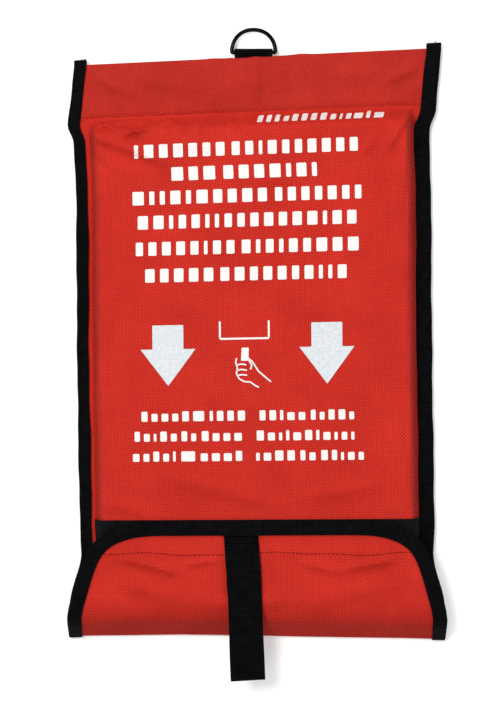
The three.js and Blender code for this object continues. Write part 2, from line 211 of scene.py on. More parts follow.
def layered(tree, colour, *layers):
    # lays colours over the first: for each its texture, its range, the share at either end, the colour
    colour = linear(colour)
    for texture, low, high, lowShare, highShare, over in layers:
        share = addNode(tree, "MapRange", [texture, low, high, lowShare, highShare])
        colour = addNode(tree, "Mix", {0: share, 6: colour, 7: linear(over)}, 2, data_type="RGBA")
    return colour


clothLook = {
    "lit": "#E83426",
    "shade": "#CE281A",
    # the header band's cloth, painted darker as painted shade
    "shadedHeaderLit": "#D43227",
    "shadedHeaderShade": "#B5271D",
    # painted shade on the weft-over cells of the weave
    "weft": "#A81D12",
    # painted shade in the gaps between the yarns
    "gap": "#5E0D09",
    "pitch": 1.3,          # real yarns are about 0.5 apart; drawn coarser so that they show
    "patch": 42.0,
    "slub": 1.3,
    "slubStretch": 26.0,
}


def makePouchCloth(name, lit, shade):
    # Polyester pack cloth, plain woven from textured yarn and coated behind: a matt even red with a
    # fine checked grain, its weft-over cells and yarn gaps painted darker as painted shade, a faint bloom of
    # loose fibre and a few thicker yarns.
    look = clothLook
    material, tree = startMaterial(name)
    weave, over = plainWeave(tree, look["pitch"])
    slubs = patches(tree, look["slub"], 2.0, look["slubStretch"])
    broad = patches(tree, look["patch"], 4.0)
    colour = layered(tree, lit, (broad, 0.3, 0.7, 0, 1, shade), (slubs, 0.4, 0.75, 0, 0.4, shade),
                     (over, 0, 1, 0, 0.62, look["weft"]),       # painted shade: the weft-over cells darker, for the weaker highlight the weft takes
                     # painted shade: darker where the weave is low, in the gaps between the yarns
                     (weave, 0, 0.6, 0.6, 0, look["gap"]))
    height = addNode(tree, "Math", [weave, addNode(tree, "MapRange", [slubs, 0.2, 0.8, 0, 0.3])])
    surface = {"IOR": 1.5, "Specular IOR Level": 0.16, "Sheen Weight": 0.06, "Sheen Roughness": 0.4,
               "Sheen Tint": linear("#FF6A50")}
    finishMaterial(tree, surface, colour, (weave, 0, 1, 0.86, 0.62), height, 0.3, 0.9)
    return material


tapeLook = {
    "thread": "#010102",
    # painted highlight on the rib crests, strongest in rubbed patches
    "ribShineAndWear": "#1B1D20",
    "ribPitch": 1.6,       # real ribs are about 0.9 apart; coarser so that they show
    "webPitch": 1.7,
    "warp": 0.7,
    "rub": 9.0,
}


def makeTape(name, pitch, depth):
    # Polypropylene tape, woven with a rib across it: near black, with a painted highlight of grey on
    # each rib's crest, stronger in rubbed patches.
    look = tapeLook
    material, tree = startMaterial(name)
    rib = ribs(tree, pitch)
    warp = plainWeave(tree, look["warp"])[0]
    rub = patches(tree, look["rub"], 4.0)
    high = addNode(tree, "MapRange", [rib, 0.45, 1.0, 0, 1])
    ribShineAndWear = addNode(tree, "MapRange", [rub, 0.35, 0.75, 0.15, 0.9])
    crest = addNode(tree, "Math", [high, ribShineAndWear], operation="MULTIPLY")
    colour = layered(tree, look["thread"], (crest, 0, 1, 0, 1, look["ribShineAndWear"]))
    height = addNode(tree, "Math", [rib, addNode(tree, "MapRange", [warp, 0, 1, 0, 0.35])])
    surface = {"IOR": 1.49, "Specular IOR Level": 0.03}
    finishMaterial(tree, surface, colour, (rub, 0.2, 0.8, 0.5, 0.68), height, depth, 0.9)
    return material


def makeLoopPile():
    # Nylon loop tape, brushed open: a black nap that drinks light, greyer where the loops catch it.
    material, tree = startMaterial("nylonLoopPileBrushed")
    nap = patches(tree, 0.9, 5.0)
    colour = layered(tree, "#030303", (nap, 0.35, 0.7, 0, 1, "#17191C"))
    surface = {"IOR": 1.53, "Specular IOR Level": 0.04, "Sheen Weight": 0.03, "Sheen Roughness": 0.5,
               "Sheen Tint": linear("#8A8C90")}
    finishMaterial(tree, surface, colour, (nap, 0.3, 0.7, 0.95, 0.75), nap, 0.7, 0.9)
    return material


def makeHookTape():
    # Nylon hook tape, cut monofilament: black and slightly shiny, in close rows.
    material, tree = startMaterial("nylonHookTapeCut")
    grain = plainWeave(tree, 1.6)[0]
    colour = layered(tree, "#030304", (grain, 0, 1, 0, 1, "#121315"))
    surface = {"IOR": 1.53, "Specular IOR Level": 0.15}
    finishMaterial(tree, surface, colour, (grain, 0, 1, 0.6, 0.38), grain, 0.25, 0.8)
    return material


def makeRingEnamel():
    # Steel wire, dip enamelled: deep black and glossy, with a slight ripple and a few dull rubs.
    material, tree = startMaterial("steelWireBlackEnamelled")
    rub = patches(tree, 3.0, 5.0)
    ripple = patches(tree, 1.8, 1.0)
    colour = layered(tree, "#010101", (rub, 0.55, 0.75, 0, 1, "#08090A"))
    surface = {"IOR": 1.5, "Specular IOR Level": 0.08}
    finishMaterial(tree, surface, colour, (rub, 0.4, 0.75, 0.1, 0.34), ripple, 0.05, 0.5)
    return material


def makeThread(name, deep, light, gloss):
    # Bonded polyester thread, twisted from three plies: a hard little rope with a light on each ply.
    material, tree = startMaterial(name)
    ply = addNode(tree, "TexWave", {"Vector": counted(tree, 0.5, 0.5, 35), "Scale": wavePerCount}, "Fac",
                  bands_direction="Y")
    colour = layered(tree, deep, (ply, 0, 1, 0, 1, light))
    surface = {"IOR": 1.55, "Specular IOR Level": 0.06}
    finishMaterial(tree, surface, colour, (ply, 0, 1, gloss + 0.15, gloss), ply, 0.08, 0.8)
    return material


def makeGlassCloth():
    # E-glass filament cloth, woven and loom finished: cool white, silky, with painted shade in the gaps
    # between the yarns and faint grey handling marks.
    material, tree = startMaterial("glassFilamentClothWoven")
    weave = plainWeave(tree, 1.0)[0]       # real yarns are about 0.6 apart; coarser so that they show
    marks = patches(tree, 30.0, 4.0)
    # painted shade: grey in the gaps between the yarns
    colour = layered(tree, "#ECEBE4", (marks, 0.3, 0.75, 0, 1, "#D5D4CB"), (weave, 0, 0.6, 0.5, 0, "#A9A89F"))
    surface = {"IOR": 1.52, "Specular IOR Level": 0.6, "Sheen Weight": 0.15, "Sheen Roughness": 0.3}
    finishMaterial(tree, surface, colour, (weave, 0, 1, 0.6, 0.38), weave, 0.14, 0.7)
    return material


def makePrint(name, ink, thin, speckle):
    # Plastisol ink, screen printed on woven cloth: an even white film that takes up the grain of the
    # yarns, with pinholes where the ink did not reach between them.
    material, tree = startMaterial(name)
    weave = plainWeave(tree, clothLook["pitch"])[0]
    dust = patches(tree, 2.4, 5.0)
    colour = layered(tree, ink, (dust, 0.4, 0.75, 0, speckle, thin), (weave, 0, 0.35, 0.35, 0, thin))
    surface = {"IOR": 1.5, "Specular IOR Level": 0.3}
    finishMaterial(tree, surface, colour, (weave, 0, 1, 0.7, 0.5), weave, 0.1, 0.6)
    return material


redCloth = makePouchCloth("polyesterPackClothWoven", clothLook["lit"], clothLook["shade"])
# the header band's cloth painted darker and duller: painted shade
shadedHeaderCloth = makePouchCloth("polyesterPackClothShadedHeader", clothLook["shadedHeaderLit"], clothLook["shadedHeaderShade"])
bindingTape = makeTape("polypropyleneBindingWoven", tapeLook["ribPitch"], 0.3)
strapWebbing = makeTape("polypropyleneWebbingWoven", tapeLook["webPitch"], 0.45)
loopPile = makeLoopPile()
hookTape = makeHookTape()
ringEnamel = makeRingEnamel()
blackThread = makeThread("polyesterThreadBlackBonded", "#010102", "#0B0C0E", 0.5)
redThread = makeThread("polyesterThreadRedBonded", "#8E120B", "#CF3A2C", 0.4)
darkRedThread = makeThread("polyesterThreadDarkRedBonded", "#4A0B09", "#8C1B15", 0.45)
glassCloth = makeGlassCloth()
wordInk = makePrint("plastisolInkWhitePrinted", "#E3E2E1", "#D2BCB8", 0.4)
arrowInk = makePrint("plastisolInkCoolWhitePrinted", "#CFD5DA", "#B4BBC0", 0.9)
print("materials made:", len(bpy.data.materials))


# what turns sections and lines into meshes

def tubeFaces(count, size, looped):
    # quads of a skin over closed sections, with the ends closed unless it joins up with itself
    i, j = np.meshgrid(np.arange(count if looped else count - 1), np.arange(size), indexing="ij")
    down, right = (i + 1) % count, (j + 1) % size
    faces = np.stack([i * size + j, i * size + right, down * size + right, down * size + j], -1)
    faces = faces.reshape(-1, 4)
    wide = size + 1       # in the weave each section has one place more, where it closes
    corners = np.stack([i * wide + j, i * wide + j + 1, (i + 1) * wide + j + 1, (i + 1) * wide + j], -1)
    corners = corners.reshape(-1, 4)
    if not looped:
        j = np.arange(size // 2 - 1)
        first = np.stack([j + 1, j, size - 1 - j, size - 2 - j], -1)
        faces = np.concatenate([faces, first, first[:, ::-1] + (count - 1) * size])
        corners = np.concatenate([corners, first, first[:, ::-1] + (count - 1) * wide])
    return faces, corners


def makePiece(name, spots, faces, uv, material, sharp=38):
    # spots in metres; uv holds one place for each corner of each face
    faces = np.asarray(faces)
    a, b, c = (spots[faces[:, k]] for k in (0, 1, 2))
    volume = np.einsum("ij,ij->i", a, np.cross(b, c)).sum()
    if faces.shape[1] == 4:
        volume += np.einsum("ij,ij->i", a, np.cross(c, spots[faces[:, 3]])).sum()
    if volume < 0:
        faces = faces[:, ::-1]
        uv = uv[:, ::-1]
    mesh = bpy.data.meshes.new(name)
    mesh.from_pydata(spots.tolist(), [], faces.tolist())
    layer = mesh.uv_layers.new(name="cloth")
    layer.uv.foreach_set("vector", np.ascontiguousarray(uv, np.float32).ravel())
    mesh.materials.append(material)
    mesh.polygons.foreach_set("use_smooth", np.ones(len(mesh.polygons), bool))
    mesh.set_sharp_from_angle(angle=math.radians(sharp))
    piece = bpy.data.objects.new(name, mesh)
    bpy.context.scene.collection.objects.link(piece)
    return piece


def skin(name, rings, along, across, material, looped=False, levelAt=None):
    # rings: sections, points round each, xyz; along and across in mm, for the weave
    rings = np.asarray(rings, float)
    count, size = rings.shape[:2]
    along = np.asarray(along, float)
    across = np.asarray(across, float)
    if along.ndim == 1:
        along = along[:, None]
    if across.shape[-1] == size:
        across = np.concatenate([across, across[..., :1]], -1)
    across, along = np.broadcast_arrays(across, along)
    places = np.stack([across, along], -1).reshape(-1, 2) / 1000
    faces, corners = tubeFaces(count, size, looped)
    return makePiece(name, inPlace(rings, levelAt).reshape(-1, 3), faces, places[corners], material)


def sheetPiece(name, front, back, along, across, material, levelAt=None):
    # a cloth between two grids of the same rows
    rings = np.concatenate([front, back[:, ::-1]], axis=1)
    across = np.broadcast_to(across, front.shape[:2])
    across = np.concatenate([across, across[:, ::-1]], axis=1)
    return skin(name, rings, along, across, material, levelAt=levelAt)


def strands(name, spines, outward, radii, material, sides=6):
    # many short separate lengths of thread in one piece
    spines = np.asarray(spines, float)
    outward = np.broadcast_to(np.asarray(outward, float), (len(spines), 3))[:, None, :]
    heading = np.gradient(spines, axis=1)
    heading /= np.linalg.norm(heading, axis=2, keepdims=True)
    side = np.cross(heading, outward)
    side /= np.maximum(np.linalg.norm(side, axis=2, keepdims=True), 1e-6)
    up = np.cross(side, heading)
    turn = np.linspace(0, 2 * math.pi, sides, endpoint=False)
    spread = np.cos(turn)[:, None] * up[:, :, None] + np.sin(turn)[:, None] * side[:, :, None]
    rings = spines[:, :, None] + np.asarray(radii, float)[:, None, None] * spread
    number, count = spines.shape[:2]
    faces, corners = tubeFaces(count, sides, False)
    shift = np.arange(number)[:, None, None]
    faces = (faces[None] + shift * count * sides).reshape(-1, 4)
    places = np.zeros((number, count, sides + 1, 2))
    places[..., 0] = np.arange(sides + 1) * 2 * math.pi * max(radii) / sides
    places[:, 1:, :, 1] = np.linalg.norm(np.diff(spines, axis=1), axis=2).cumsum(1)[:, :, None]
    places = places.reshape(number, -1, 2)[:, corners].reshape(-1, 4, 2) / 1000
    return makePiece(name, inPlace(rings).reshape(-1, 3), faces, places, material, 60)


def runAlong(path):
    # how far along a line each of its points is
    return np.concatenate([[0], np.linalg.norm(np.diff(path, axis=0), axis=1).cumsum()])


def leftOf(path):
    # the unit normal to the left of a flat line at each of its points
    way = np.gradient(path, axis=0)
    way /= np.linalg.norm(way, axis=1, keepdims=True)
    return np.stack([-way[:, 1], way[:, 0]], 1)


def outwardOf(grid):
    # the unit normals of a grid of points
    normal = np.cross(np.gradient(grid, axis=1), np.gradient(grid, axis=0))
    return normal / np.linalg.norm(normal, axis=2, keepdims=True)


def spaced(path, step):
    # points every step along a line, both ends kept
    path = np.asarray(path, float)
    run = runAlong(path)
    marks = np.linspace(0, run[-1], max(2, round(run[-1] / step) + 1))
    return np.stack([np.interp(marks, run, path[:, k]) for k in range(path.shape[1])], 1)


stitchLook = {
    "pitch": 3.3,
    "gap": 0.55,
    "radius": 0.27,
    "lift": 0.16,
    "sink": 0.3,
    "clear": 0.12,        # from the cloth's face to the line that it is sewn along
}


def stitchSpines(path, outward, pitch=None):
    # a run of lockstitches: each stitch humps over the cloth and dives in at both ends
    ends = spaced(path, pitch or stitchLook["pitch"])
    outward = np.asarray(outward, float)
    start, stop = ends[:-1], ends[1:]
    way = stop - start
    way /= np.linalg.norm(way, axis=1, keepdims=True)
    start = start + way * stitchLook["gap"] / 2
    stop = stop - way * stitchLook["gap"] / 2
    t = np.array([0, 0.1, 0.3, 0.5, 0.7, 0.9, 1])
    hump = -stitchLook["sink"] + (stitchLook["lift"] + stitchLook["sink"]) * np.sin(math.pi * t) ** 0.45
    return start[:, None] + (stop - start)[:, None] * t[:, None] + hump[:, None] * outward


stitchRadii = np.array([0.6, 0.9, 1, 1, 1, 0.9, 0.6]) * stitchLook["radius"]
towardsRoom = (0.0, -1.0, 0.0)
towardsWall = (0.0, 1.0, 0.0)


# back panel

backPanelLook = {
    "top": 425.0,
    "edge": 1.0,        # how far its edge stays inside the binding
    "sag": 0.28,
    "step": 4.0,
}


def backOuter(x, z):
    waves = np.sin(x / 31 + 0.7) * np.sin(z / 47) + 0.5 * np.sin(x / 17 - z / 38 + 1.9)
    return 0.06 + backPanelLook["sag"] * (0.5 + 0.33 * waves) * ease((118 - np.abs(x)) / 20) * ease(z / 20)


look = backPanelLook
rows = np.linspace(pouch["foldInset"], look["top"], round(look["top"] / look["step"]))
share = np.linspace(-1, 1, 71)
panelX = share * (halfWidth(rows) - look["edge"])[:, None]
panelZ = np.broadcast_to(rows[:, None], panelX.shape)
outer = np.stack([panelX, backOuter(panelX, panelZ), panelZ], -1)
inner = outer - [0, pouch["cloth"], 0]
backPanel = sheetPiece("back_cloth", outer, inner, rows, panelX, redCloth)
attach(backPanel, "pouch")
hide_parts("back_panel")
print("back panel made")


# front panel, stretched over the folded blanket

frontPanelLook = {
    "bottom": 61.0,
    "top": 396.9,
    "rest": -1.5,          # where it lies on the back panel
    "depth": 20.3,         # how far it stands out over the blanket
    "sideStart": 119.2,
    "sideRun": 7.6,
    "topStart": 385.9,
    "topRun": 14.0,
    "edge": 1.0,
    "seam": 388.1,
    "crown": 1.1,
    "plainHalf": 128.6,    # half its width where its edges run straight
}

# pulls in the cloth: from x, z to x, z, then width and how far it stands out
pulls = [
    (-117, 382, -86, 374, 2.0, 4.8), (-90, 371, -56, 382, 1.9, 4.2), (-118, 372, -64, 350, 3.4, 3.0),
    (-116, 362, -92, 342, 3.4, 1.9), (-64, 386, -48, 373, 2.0, 3.2), (-44, 386, -35, 371, 1.9, 2.4),
    (-70, 366, -30, 360, 4.5, 1.6), (-20, 386, -9, 371, 2.0, 2.6), (2, 386, 6, 374, 1.8, 1.9),
    (16, 387, 25, 373, 2.0, 2.4), (50, 387, 41, 373, 2.1, 2.4), (66, 385, 98, 378, 2.4, 1.8),
    (117, 385, 98, 354, 3.0, 3.0), (113, 372, 108, 326, 4.0, 2.4), (90, 366, 80, 350, 3.2, 1.4),
    (-104, 352, -110, 300, 6.0, 1.6), (-30, 362, 44, 366, 8.0, 1.1), (107, 300, 111, 180, 4.0, 1.3),
    (100, 150, 112, 95, 6.0, 2.2), (-112, 190, -98, 110, 6.0, 2.0), (-60, 118, 10, 98, 6.0, 1.7),
    (40, 104, 96, 112, 5.0, 1.6), (-114, 250, -104, 230, 7.0, 1.1), (20, 250, 60, 236, 15.0, 0.8),
    (-40, 240, -100, 262, 14.0, 0.8), (-112, 100, -80, 92, 5.0, 1.4),
    (-112, 381.5, -76, 382.5, 1.9, 5.0), (-108, 376.5, -78, 377.5, 2.4, -4.6),
]


def pulledOut(x, z, lines):
    total = np.zeros(np.broadcast(x, z).shape)
    for x0, z0, x1, z1, width, height in lines:
        dx, dz = x1 - x0, z1 - z0
        length = math.hypot(dx, dz)
        t = ((x - x0) * dx + (z - z0) * dz) / length ** 2
        off = ((x - x0) * dz - (z - z0) * dx) / length
        total = total + height * np.exp(-(off / width) ** 2) * ease((t + 0.25) / 0.5) * ease((1.25 - t) / 0.5)
    return total


def seamPuckers(x, away, reach, height):
    wave = 0.5 + 0.25 * np.sin(x * 0.71 + 1.1 * np.sin(x * 0.083)) + 0.25 * np.sin(x * 0.43 + 2.2)
    return height * wave * np.exp(-np.abs(away) / reach)


def frontOuter(x, z):
    look = frontPanelLook
    side = ease((look["sideStart"] - np.abs(x)) / look["sideRun"])
    top = ease((look["topStart"] - z) / look["topRun"])
    lifted = side * top
    crown = look["crown"] * ease((110 - np.abs(x)) / 90) * ease((372 - z) / 60) * ease((z - 40) / 80)
    waves = 0.35 * np.sin(x / 23 + z / 61) * np.sin(z / 33 + 0.6) + 0.25 * np.sin(x / 41 - z / 27 + 1.4)
    free = lifted * ease((z - 88) / 30)
    below = look["seam"] - z
    tucks = seamPuckers(x, below, 6.0, 3.8) * ease(below / 6) * ease((118 - np.abs(x)) / 8)
    out = look["depth"] * lifted + free * (crown + waves + 0.5) + tucks
    out = out + pulledOut(x, z, pulls) * ease((117 - np.abs(x)) / 9) * ease((below - 2) / 8)
    return look["rest"] - out


look = frontPanelLook
rows = np.concatenate([np.linspace(look["bottom"], 345, 110)[:-1], np.linspace(345, look["top"], 46)])
flatShare = (look["sideStart"] - look["sideRun"]) / look["plainHalf"]
columns = np.concatenate([np.linspace(-1, -flatShare, 16)[:-1], np.linspace(-flatShare, flatShare, 150),
                          np.linspace(flatShare, 1, 16)[1:]])
panelX = columns * (halfWidth(rows) - look["edge"])[:, None]
panelZ = np.broadcast_to(rows[:, None], panelX.shape)
outer = np.stack([panelX, frontOuter(panelX, panelZ), panelZ], -1)
inner = outer - outwardOf(outer) * pouch["cloth"]
frontPanel = sheetPiece("front_cloth", outer, inner, rows, panelX, redCloth)
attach(frontPanel, "pouch")
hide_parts("front_panel")
print("front panel made")


# header band, the cloth folded over at the top

headerLook = {
    "bottom": 386.9,
    "foldZ": 425.6,
    "front": -2.4,
    "ringX": -3.0,
    "ringHalf": 16.0,
    "edge": 1.0,
    "seamZ": 388.6,
}

headerPulls = [
    (-2, 428, 3, 394, 3.0, 2.6), (-34, 424, -22, 398, 5.5, 1.6), (30, 426, 50, 398, 5.0, 2.2),
    (-120, 420, -84, 400, 4.4, 2.8), (124, 418, 92, 402, 5.0, 2.6), (-84, 414, -40, 405, 6.0, 1.8),
    (60, 412, 104, 410, 5.0, 1.6), (-104, 412, -96, 392, 4.0, 1.8), (14, 420, 20, 400, 3.4, 1.6),
]


def headerOuter(x, z):
    look = headerLook
    tab = 0.6 * ease((look["ringHalf"] + 3 - np.abs(x - look["ringX"])) / 4) * ease((z - 404) / 4)
    free = ease((122 - np.abs(x)) / 8)
    soft = pulledOut(x, z, headerPulls) * ease((z - 388) / 8)
    tucks = seamPuckers(x + 31, z - frontPanelLook["seam"], 6.0, 1.0) * ease((z - 387.5) / 5)
    return look["front"] - tab - free * (soft + tucks)


look = headerLook
rows = np.linspace(look["bottom"], look["foldZ"], 24)
columns = np.linspace(-1, 1, 121)
bandX = columns * (halfWidth(rows) - look["edge"])[:, None]
bandZ = np.broadcast_to(rows[:, None], bandX.shape)
outer = np.stack([bandX, headerOuter(bandX, bandZ), bandZ], -1)
topX = bandX[-1]
topY = outer[-1, :, 1]
besideTab = look["ringHalf"] + 4 - np.abs(topX - look["ringX"])
turnBack = 178 - 150 * ease(besideTab / 5)       # the roll stays open at the ring's tab
rollRadius = (0.0 - topY) / 2
over = []
for step in np.linspace(0, 1, 9)[1:]:
    angle = np.radians(turnBack * step)
    over.append(np.stack([topX, topY + rollRadius * (1 - np.cos(angle)),
                          look["foldZ"] + rollRadius * np.sin(angle)], -1))
outer = np.concatenate([outer, np.array(over)])
inner = outer - outwardOf(outer) * pouch["cloth"]
run = np.concatenate([rows, look["foldZ"] + 0.5 * np.arange(1, 9)])
headerBand = sheetPiece("header_cloth", outer, inner, run, np.concatenate([bandX, np.tile(topX, (8, 1))]),
                        shadedHeaderCloth)
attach(headerBand, "pouch")
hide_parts("header_band")

seamX = np.linspace(-118.6, 118.6, 200)
seamPath = np.stack([seamX, headerOuter(seamX, np.full(200, look["seamZ"])) - 0.1,
                     look["seamZ"] + 0.25 * np.sin(seamX / 19)], 1)
headerSeam = strands("header_seam", stitchSpines(seamPath, towardsRoom), towardsRoom, stitchRadii, redThread)
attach(headerSeam, "pouch")
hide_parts("header_seam_thread")
print("header made")


# bindings down both sides

sideTapeLook = {
    "bottom": 4.2,
    "top": 430.4,
    "width": {-1: 8.8, 1: 11.3},     # left and right, sewn on a little unevenly
    "rows": 150,
    "front": -3.4,
    "back": 1.0,
    "stitchFromEdge": 1.8,
    "frayed": 12,
}


def tapeSection(width, front, back):
    # a tape folded round an edge, its outside and then its inside: distance in from the edge and y, and
    # how far round each place is
    thick = math.copysign(pouch["tape"], back - front)
    lines = []
    for start, stop, bend in ((front, back, (1.4, 0.5, 0.0)), (front + thick, back - thick, (1.6, 1.1, 0.8))):
        leg = [(width, 0), (width * 0.62, 0), (3.0, 0), (bend[0], 0), (bend[1], 0.14), (bend[2], 0.38)]
        lines.append(np.array([(into, start * (1 - part) + stop * part) for into, part in leg]
                              + [(into, start * part + stop * (1 - part)) for into, part in leg[::-1]]))
    outer, inner = lines
    return np.concatenate([outer, inner[::-1]]), np.concatenate([runAlong(outer), runAlong(inner)[::-1]])


def sewnThrough(name, frontLine, rearLine):
    # stitches that show on both faces of a folded tape
    front = stitchSpines(frontLine, towardsRoom)
    rear = stitchSpines(rearLine, towardsWall)
    normals = np.array([towardsRoom] * len(front) + [towardsWall] * len(rear))
    return strands(name, np.concatenate([front, rear]), normals, stitchRadii, blackThread)


def makeSideTape(side, name):
    look = sideTapeLook
    ring, across = tapeSection(look["width"][side], look["front"], look["back"])
    rows = np.linspace(look["bottom"], look["top"], look["rows"])
    wobble = 0.36 * np.sin(rows / 23 + side) + 0.24 * np.sin(rows / 7.7 + 2 * side)
    waver = 0.22 * np.sin(rows / 12.3 + 3 * side) + 0.14 * np.sin(rows / 4.6 + side)
    bulge = 0.2 * np.sin(rows / 14 + side * 2) + 0.1 * np.sin(rows / 5.3)
    shift = np.where(ring[:, 0] > 5, wobble[:, None], waver[:, None])     # its sewn side, and its outer edge
    points = np.empty((len(rows), len(ring), 3))
    points[..., 0] = side * (halfWidth(rows)[:, None] - ring[:, 0] + shift)
    points[..., 1] = ring[:, 1] + bulge[:, None] * np.sign(ring[:, 1] + 1.2) * (ring[:, 0] < 7)
    points[..., 2] = rows[:, None]
    return skin(name, points, rows, across, bindingTape)


def sideThread(side, name):
    look = sideTapeLook
    z = np.linspace(look["bottom"] + 2, look["top"] - 2, 160)
    x = side * (halfWidth(z) - look["width"][side] + look["stitchFromEdge"] + 0.3 * np.sin(z / 31 + side))
    faces = (look["front"] - stitchLook["clear"], look["back"] + stitchLook["clear"])
    return sewnThrough(name, *[np.stack([x, np.full(160, y), z], 1) for y in faces])


def frayedEnds(side, name):
    # loose yarns where the tape was cut
    spines = []
    for k in range(sideTapeLook["frayed"]):
        x = side * (halfWidth(430.0) - dice.uniform(0.8, 9.2))
        y = dice.choice([-3.0, -2.9, 0.6, 0.7, -1.2])
        lean, back, tall = dice.uniform(-1.6, 1.6), dice.uniform(-0.7, 0.7), dice.uniform(0.9, 2.6)
        t = np.linspace(0, 1, 7)
        spines.append(np.stack([x + lean * t ** 2, y + back * t ** 2, 429.6 + tall * t], 1))
    radii = np.array([1, 1, 0.95, 0.9, 0.8, 0.7, 0.4]) * 0.24
    return strands(name, spines, (0.3, -1.0, 0.0), radii, blackThread)


for side, hand in ((-1, "left"), (1, "right")):
    tape = makeSideTape(side, hand + "_edge_tape")
    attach(tape, "pouch")
    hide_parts(hand + "_side_binding")
    thread = sideThread(side, hand + "_edge_stitches")
    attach(thread, "pouch")
    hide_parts(hand + "_binding_thread")
    fray = frayedEnds(side, hand + "_frayed_yarns")
    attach(fray, "pouch")
print("side bindings made")


# loop tape on the front panel, hooks on the flap

loopLook = {
    "low": 61.3,
    "high": 86.3,
    "halfLength": 117.0,
    "thick": 1.2,
    "offset": 0.3,
    "pileFrom": 78.0,      # loops are modelled one by one where they show
    "pile": 1500,
}


def frontPlain(x):
    # the front panel under the loop tape, where it has no waves
    look = frontPanelLook
    return look["rest"] - look["depth"] * ease((look["sideStart"] - np.abs(x)) / look["sideRun"])


look = loopLook
rows = np.linspace(look["low"], look["high"], 9)
columns = np.concatenate([np.linspace(-look["halfLength"], -107, 14)[:-1], np.linspace(-107, 107, 60),
                          np.linspace(107, look["halfLength"], 14)[1:]])
gridX, gridZ = np.meshgrid(columns, rows)
base = np.stack([gridX, frontPlain(gridX), gridZ], -1)
normal = outwardOf(base)
inner = base + normal * look["offset"]
outer = base + normal * (look["offset"] + look["thick"])
loopStrip = sheetPiece("loop_tape", outer, inner, rows, gridX, loopPile)
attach(loopStrip, "pouch")
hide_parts("loop_strip")

spines = []
arch = np.linspace(0, 1, 6)
for k in range(look["pile"]):
    x = dice.choice([-1, 1]) * dice.uniform(look["pileFrom"], 107.5)
    z = dice.uniform(look["low"] + 0.8, look["high"] - 0.6)
    heading = dice.uniform(0, 2 * math.pi)
    reach, tall = dice.uniform(0.5, 1.1), dice.uniform(0.35, 0.8)
    surface = float(frontPlain(x)) - look["offset"] - look["thick"] + 0.1
    spines.append(np.stack([x + math.cos(heading) * reach * (arch - 0.5),
                            surface - tall * np.sin(math.pi * arch),
                            z + math.sin(heading) * reach * (arch - 0.5)], 1))
pile = strands("loop_pile", spines, towardsRoom, np.full(6, 0.11), loopPile, 4)
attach(pile, "pouch")

hookLook = {
    "low": 60.0,
    "high": 83.2,
    "half": 88.0,
    "back": -23.6,
    "thick": 0.8,
    "pitch": 2.0,
}

look = hookLook
rows = np.linspace(look["low"], look["high"], 9)
gridX, gridZ = np.meshgrid(np.linspace(-look["half"], look["half"], 46), rows)
outer = np.stack([gridX, np.full(gridX.shape, look["back"] - 0.4 - look["thick"]), gridZ], -1)
inner = outer + [0, look["thick"], 0]
hookStrip = sheetPiece("hook_tape", outer, inner, rows, gridX, hookTape)
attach(hookStrip, "flap")
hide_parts("hook_strip")

spines = []
bend = np.array([[0, 0], [0.0, 0.22], [0.05, 0.42], [0.22, 0.5], [0.36, 0.38], [0.34, 0.26]])
for x in np.arange(-look["half"] + 1.2, look["half"] - 1, look["pitch"]):
    for z in np.arange(look["low"] + 1.0, look["high"] - 0.8, look["pitch"]):
        side = 1 if round(x / look["pitch"]) % 2 else -1
        spines.append(np.stack([np.full(6, x), look["back"] - 0.42 + bend[:, 1] * 0.8,
                                z + side * bend[:, 0]], 1))
hooks = strands("hook_rows", spines, (1.0, 0.2, 0.0), np.full(6, 0.11), hookTape, 4)
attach(hooks, "flap")
print("hook and loop made")


# hanging ring and its tab

ringLook = {
    "x": -3.0,
    "y": -1.5,
    "barZ": 430.1,
    "wire": 3.0,
    "width": 32.2,
    "height": 16.7,
    "archPower": 0.94,     # below 1 the arch is fuller than half an ellipse
}

look = ringLook
angle = np.linspace(0, math.pi, 33)
cosine = np.cos(angle)
arch = np.stack([look["width"] / 2 * cosine * np.abs(cosine) ** (look["archPower"] - 1 + 0.0001),
                 look["height"] * np.sin(angle) ** look["archPower"]], 1)
bar = np.stack([np.linspace(-look["width"] / 2, look["width"] / 2, 20)[1:-1], np.zeros(18)], 1)
outline = np.concatenate([arch, bar])
for smoothing in range(2):
    after = np.roll(outline, -1, axis=0)
    outline = np.stack([0.75 * outline + 0.25 * after, 0.25 * outline + 0.75 * after], 1).reshape(-1, 2)
heading = np.roll(outline, -1, axis=0) - np.roll(outline, 1, axis=0)
heading /= np.linalg.norm(heading, axis=1, keepdims=True)
outline3 = np.stack([outline[:, 0] + look["x"], np.full(len(outline), look["y"]),
                     outline[:, 1] + look["barZ"]], 1)
side = np.stack([heading[:, 1], np.zeros(len(outline)), -heading[:, 0]], 1)
turn = np.linspace(0, 2 * math.pi, 16, endpoint=False)
rings = (outline3[:, None] + look["wire"] / 2 * (np.cos(turn)[:, None] * side[:, None]
         + np.sin(turn)[:, None] * np.array([0, 1, 0])))
run = runAlong(np.concatenate([outline3, outline3[:1]]))
ring = skin("wall_ring", rings, run, np.arange(17) * math.pi * look["wire"] / 16, ringEnamel, looped=True,
            levelAt=look["x"])
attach(ring, "ring")
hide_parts("hang_ring")

tabLook = {
    "half": 14.0,
    "loop": 2.4,          # from the wire's middle to the middle of the tape
    "thick": 0.55,
    "bottom": 408.9,
    "legGap": 0.3,
    "legMiddle": -1.5,
}

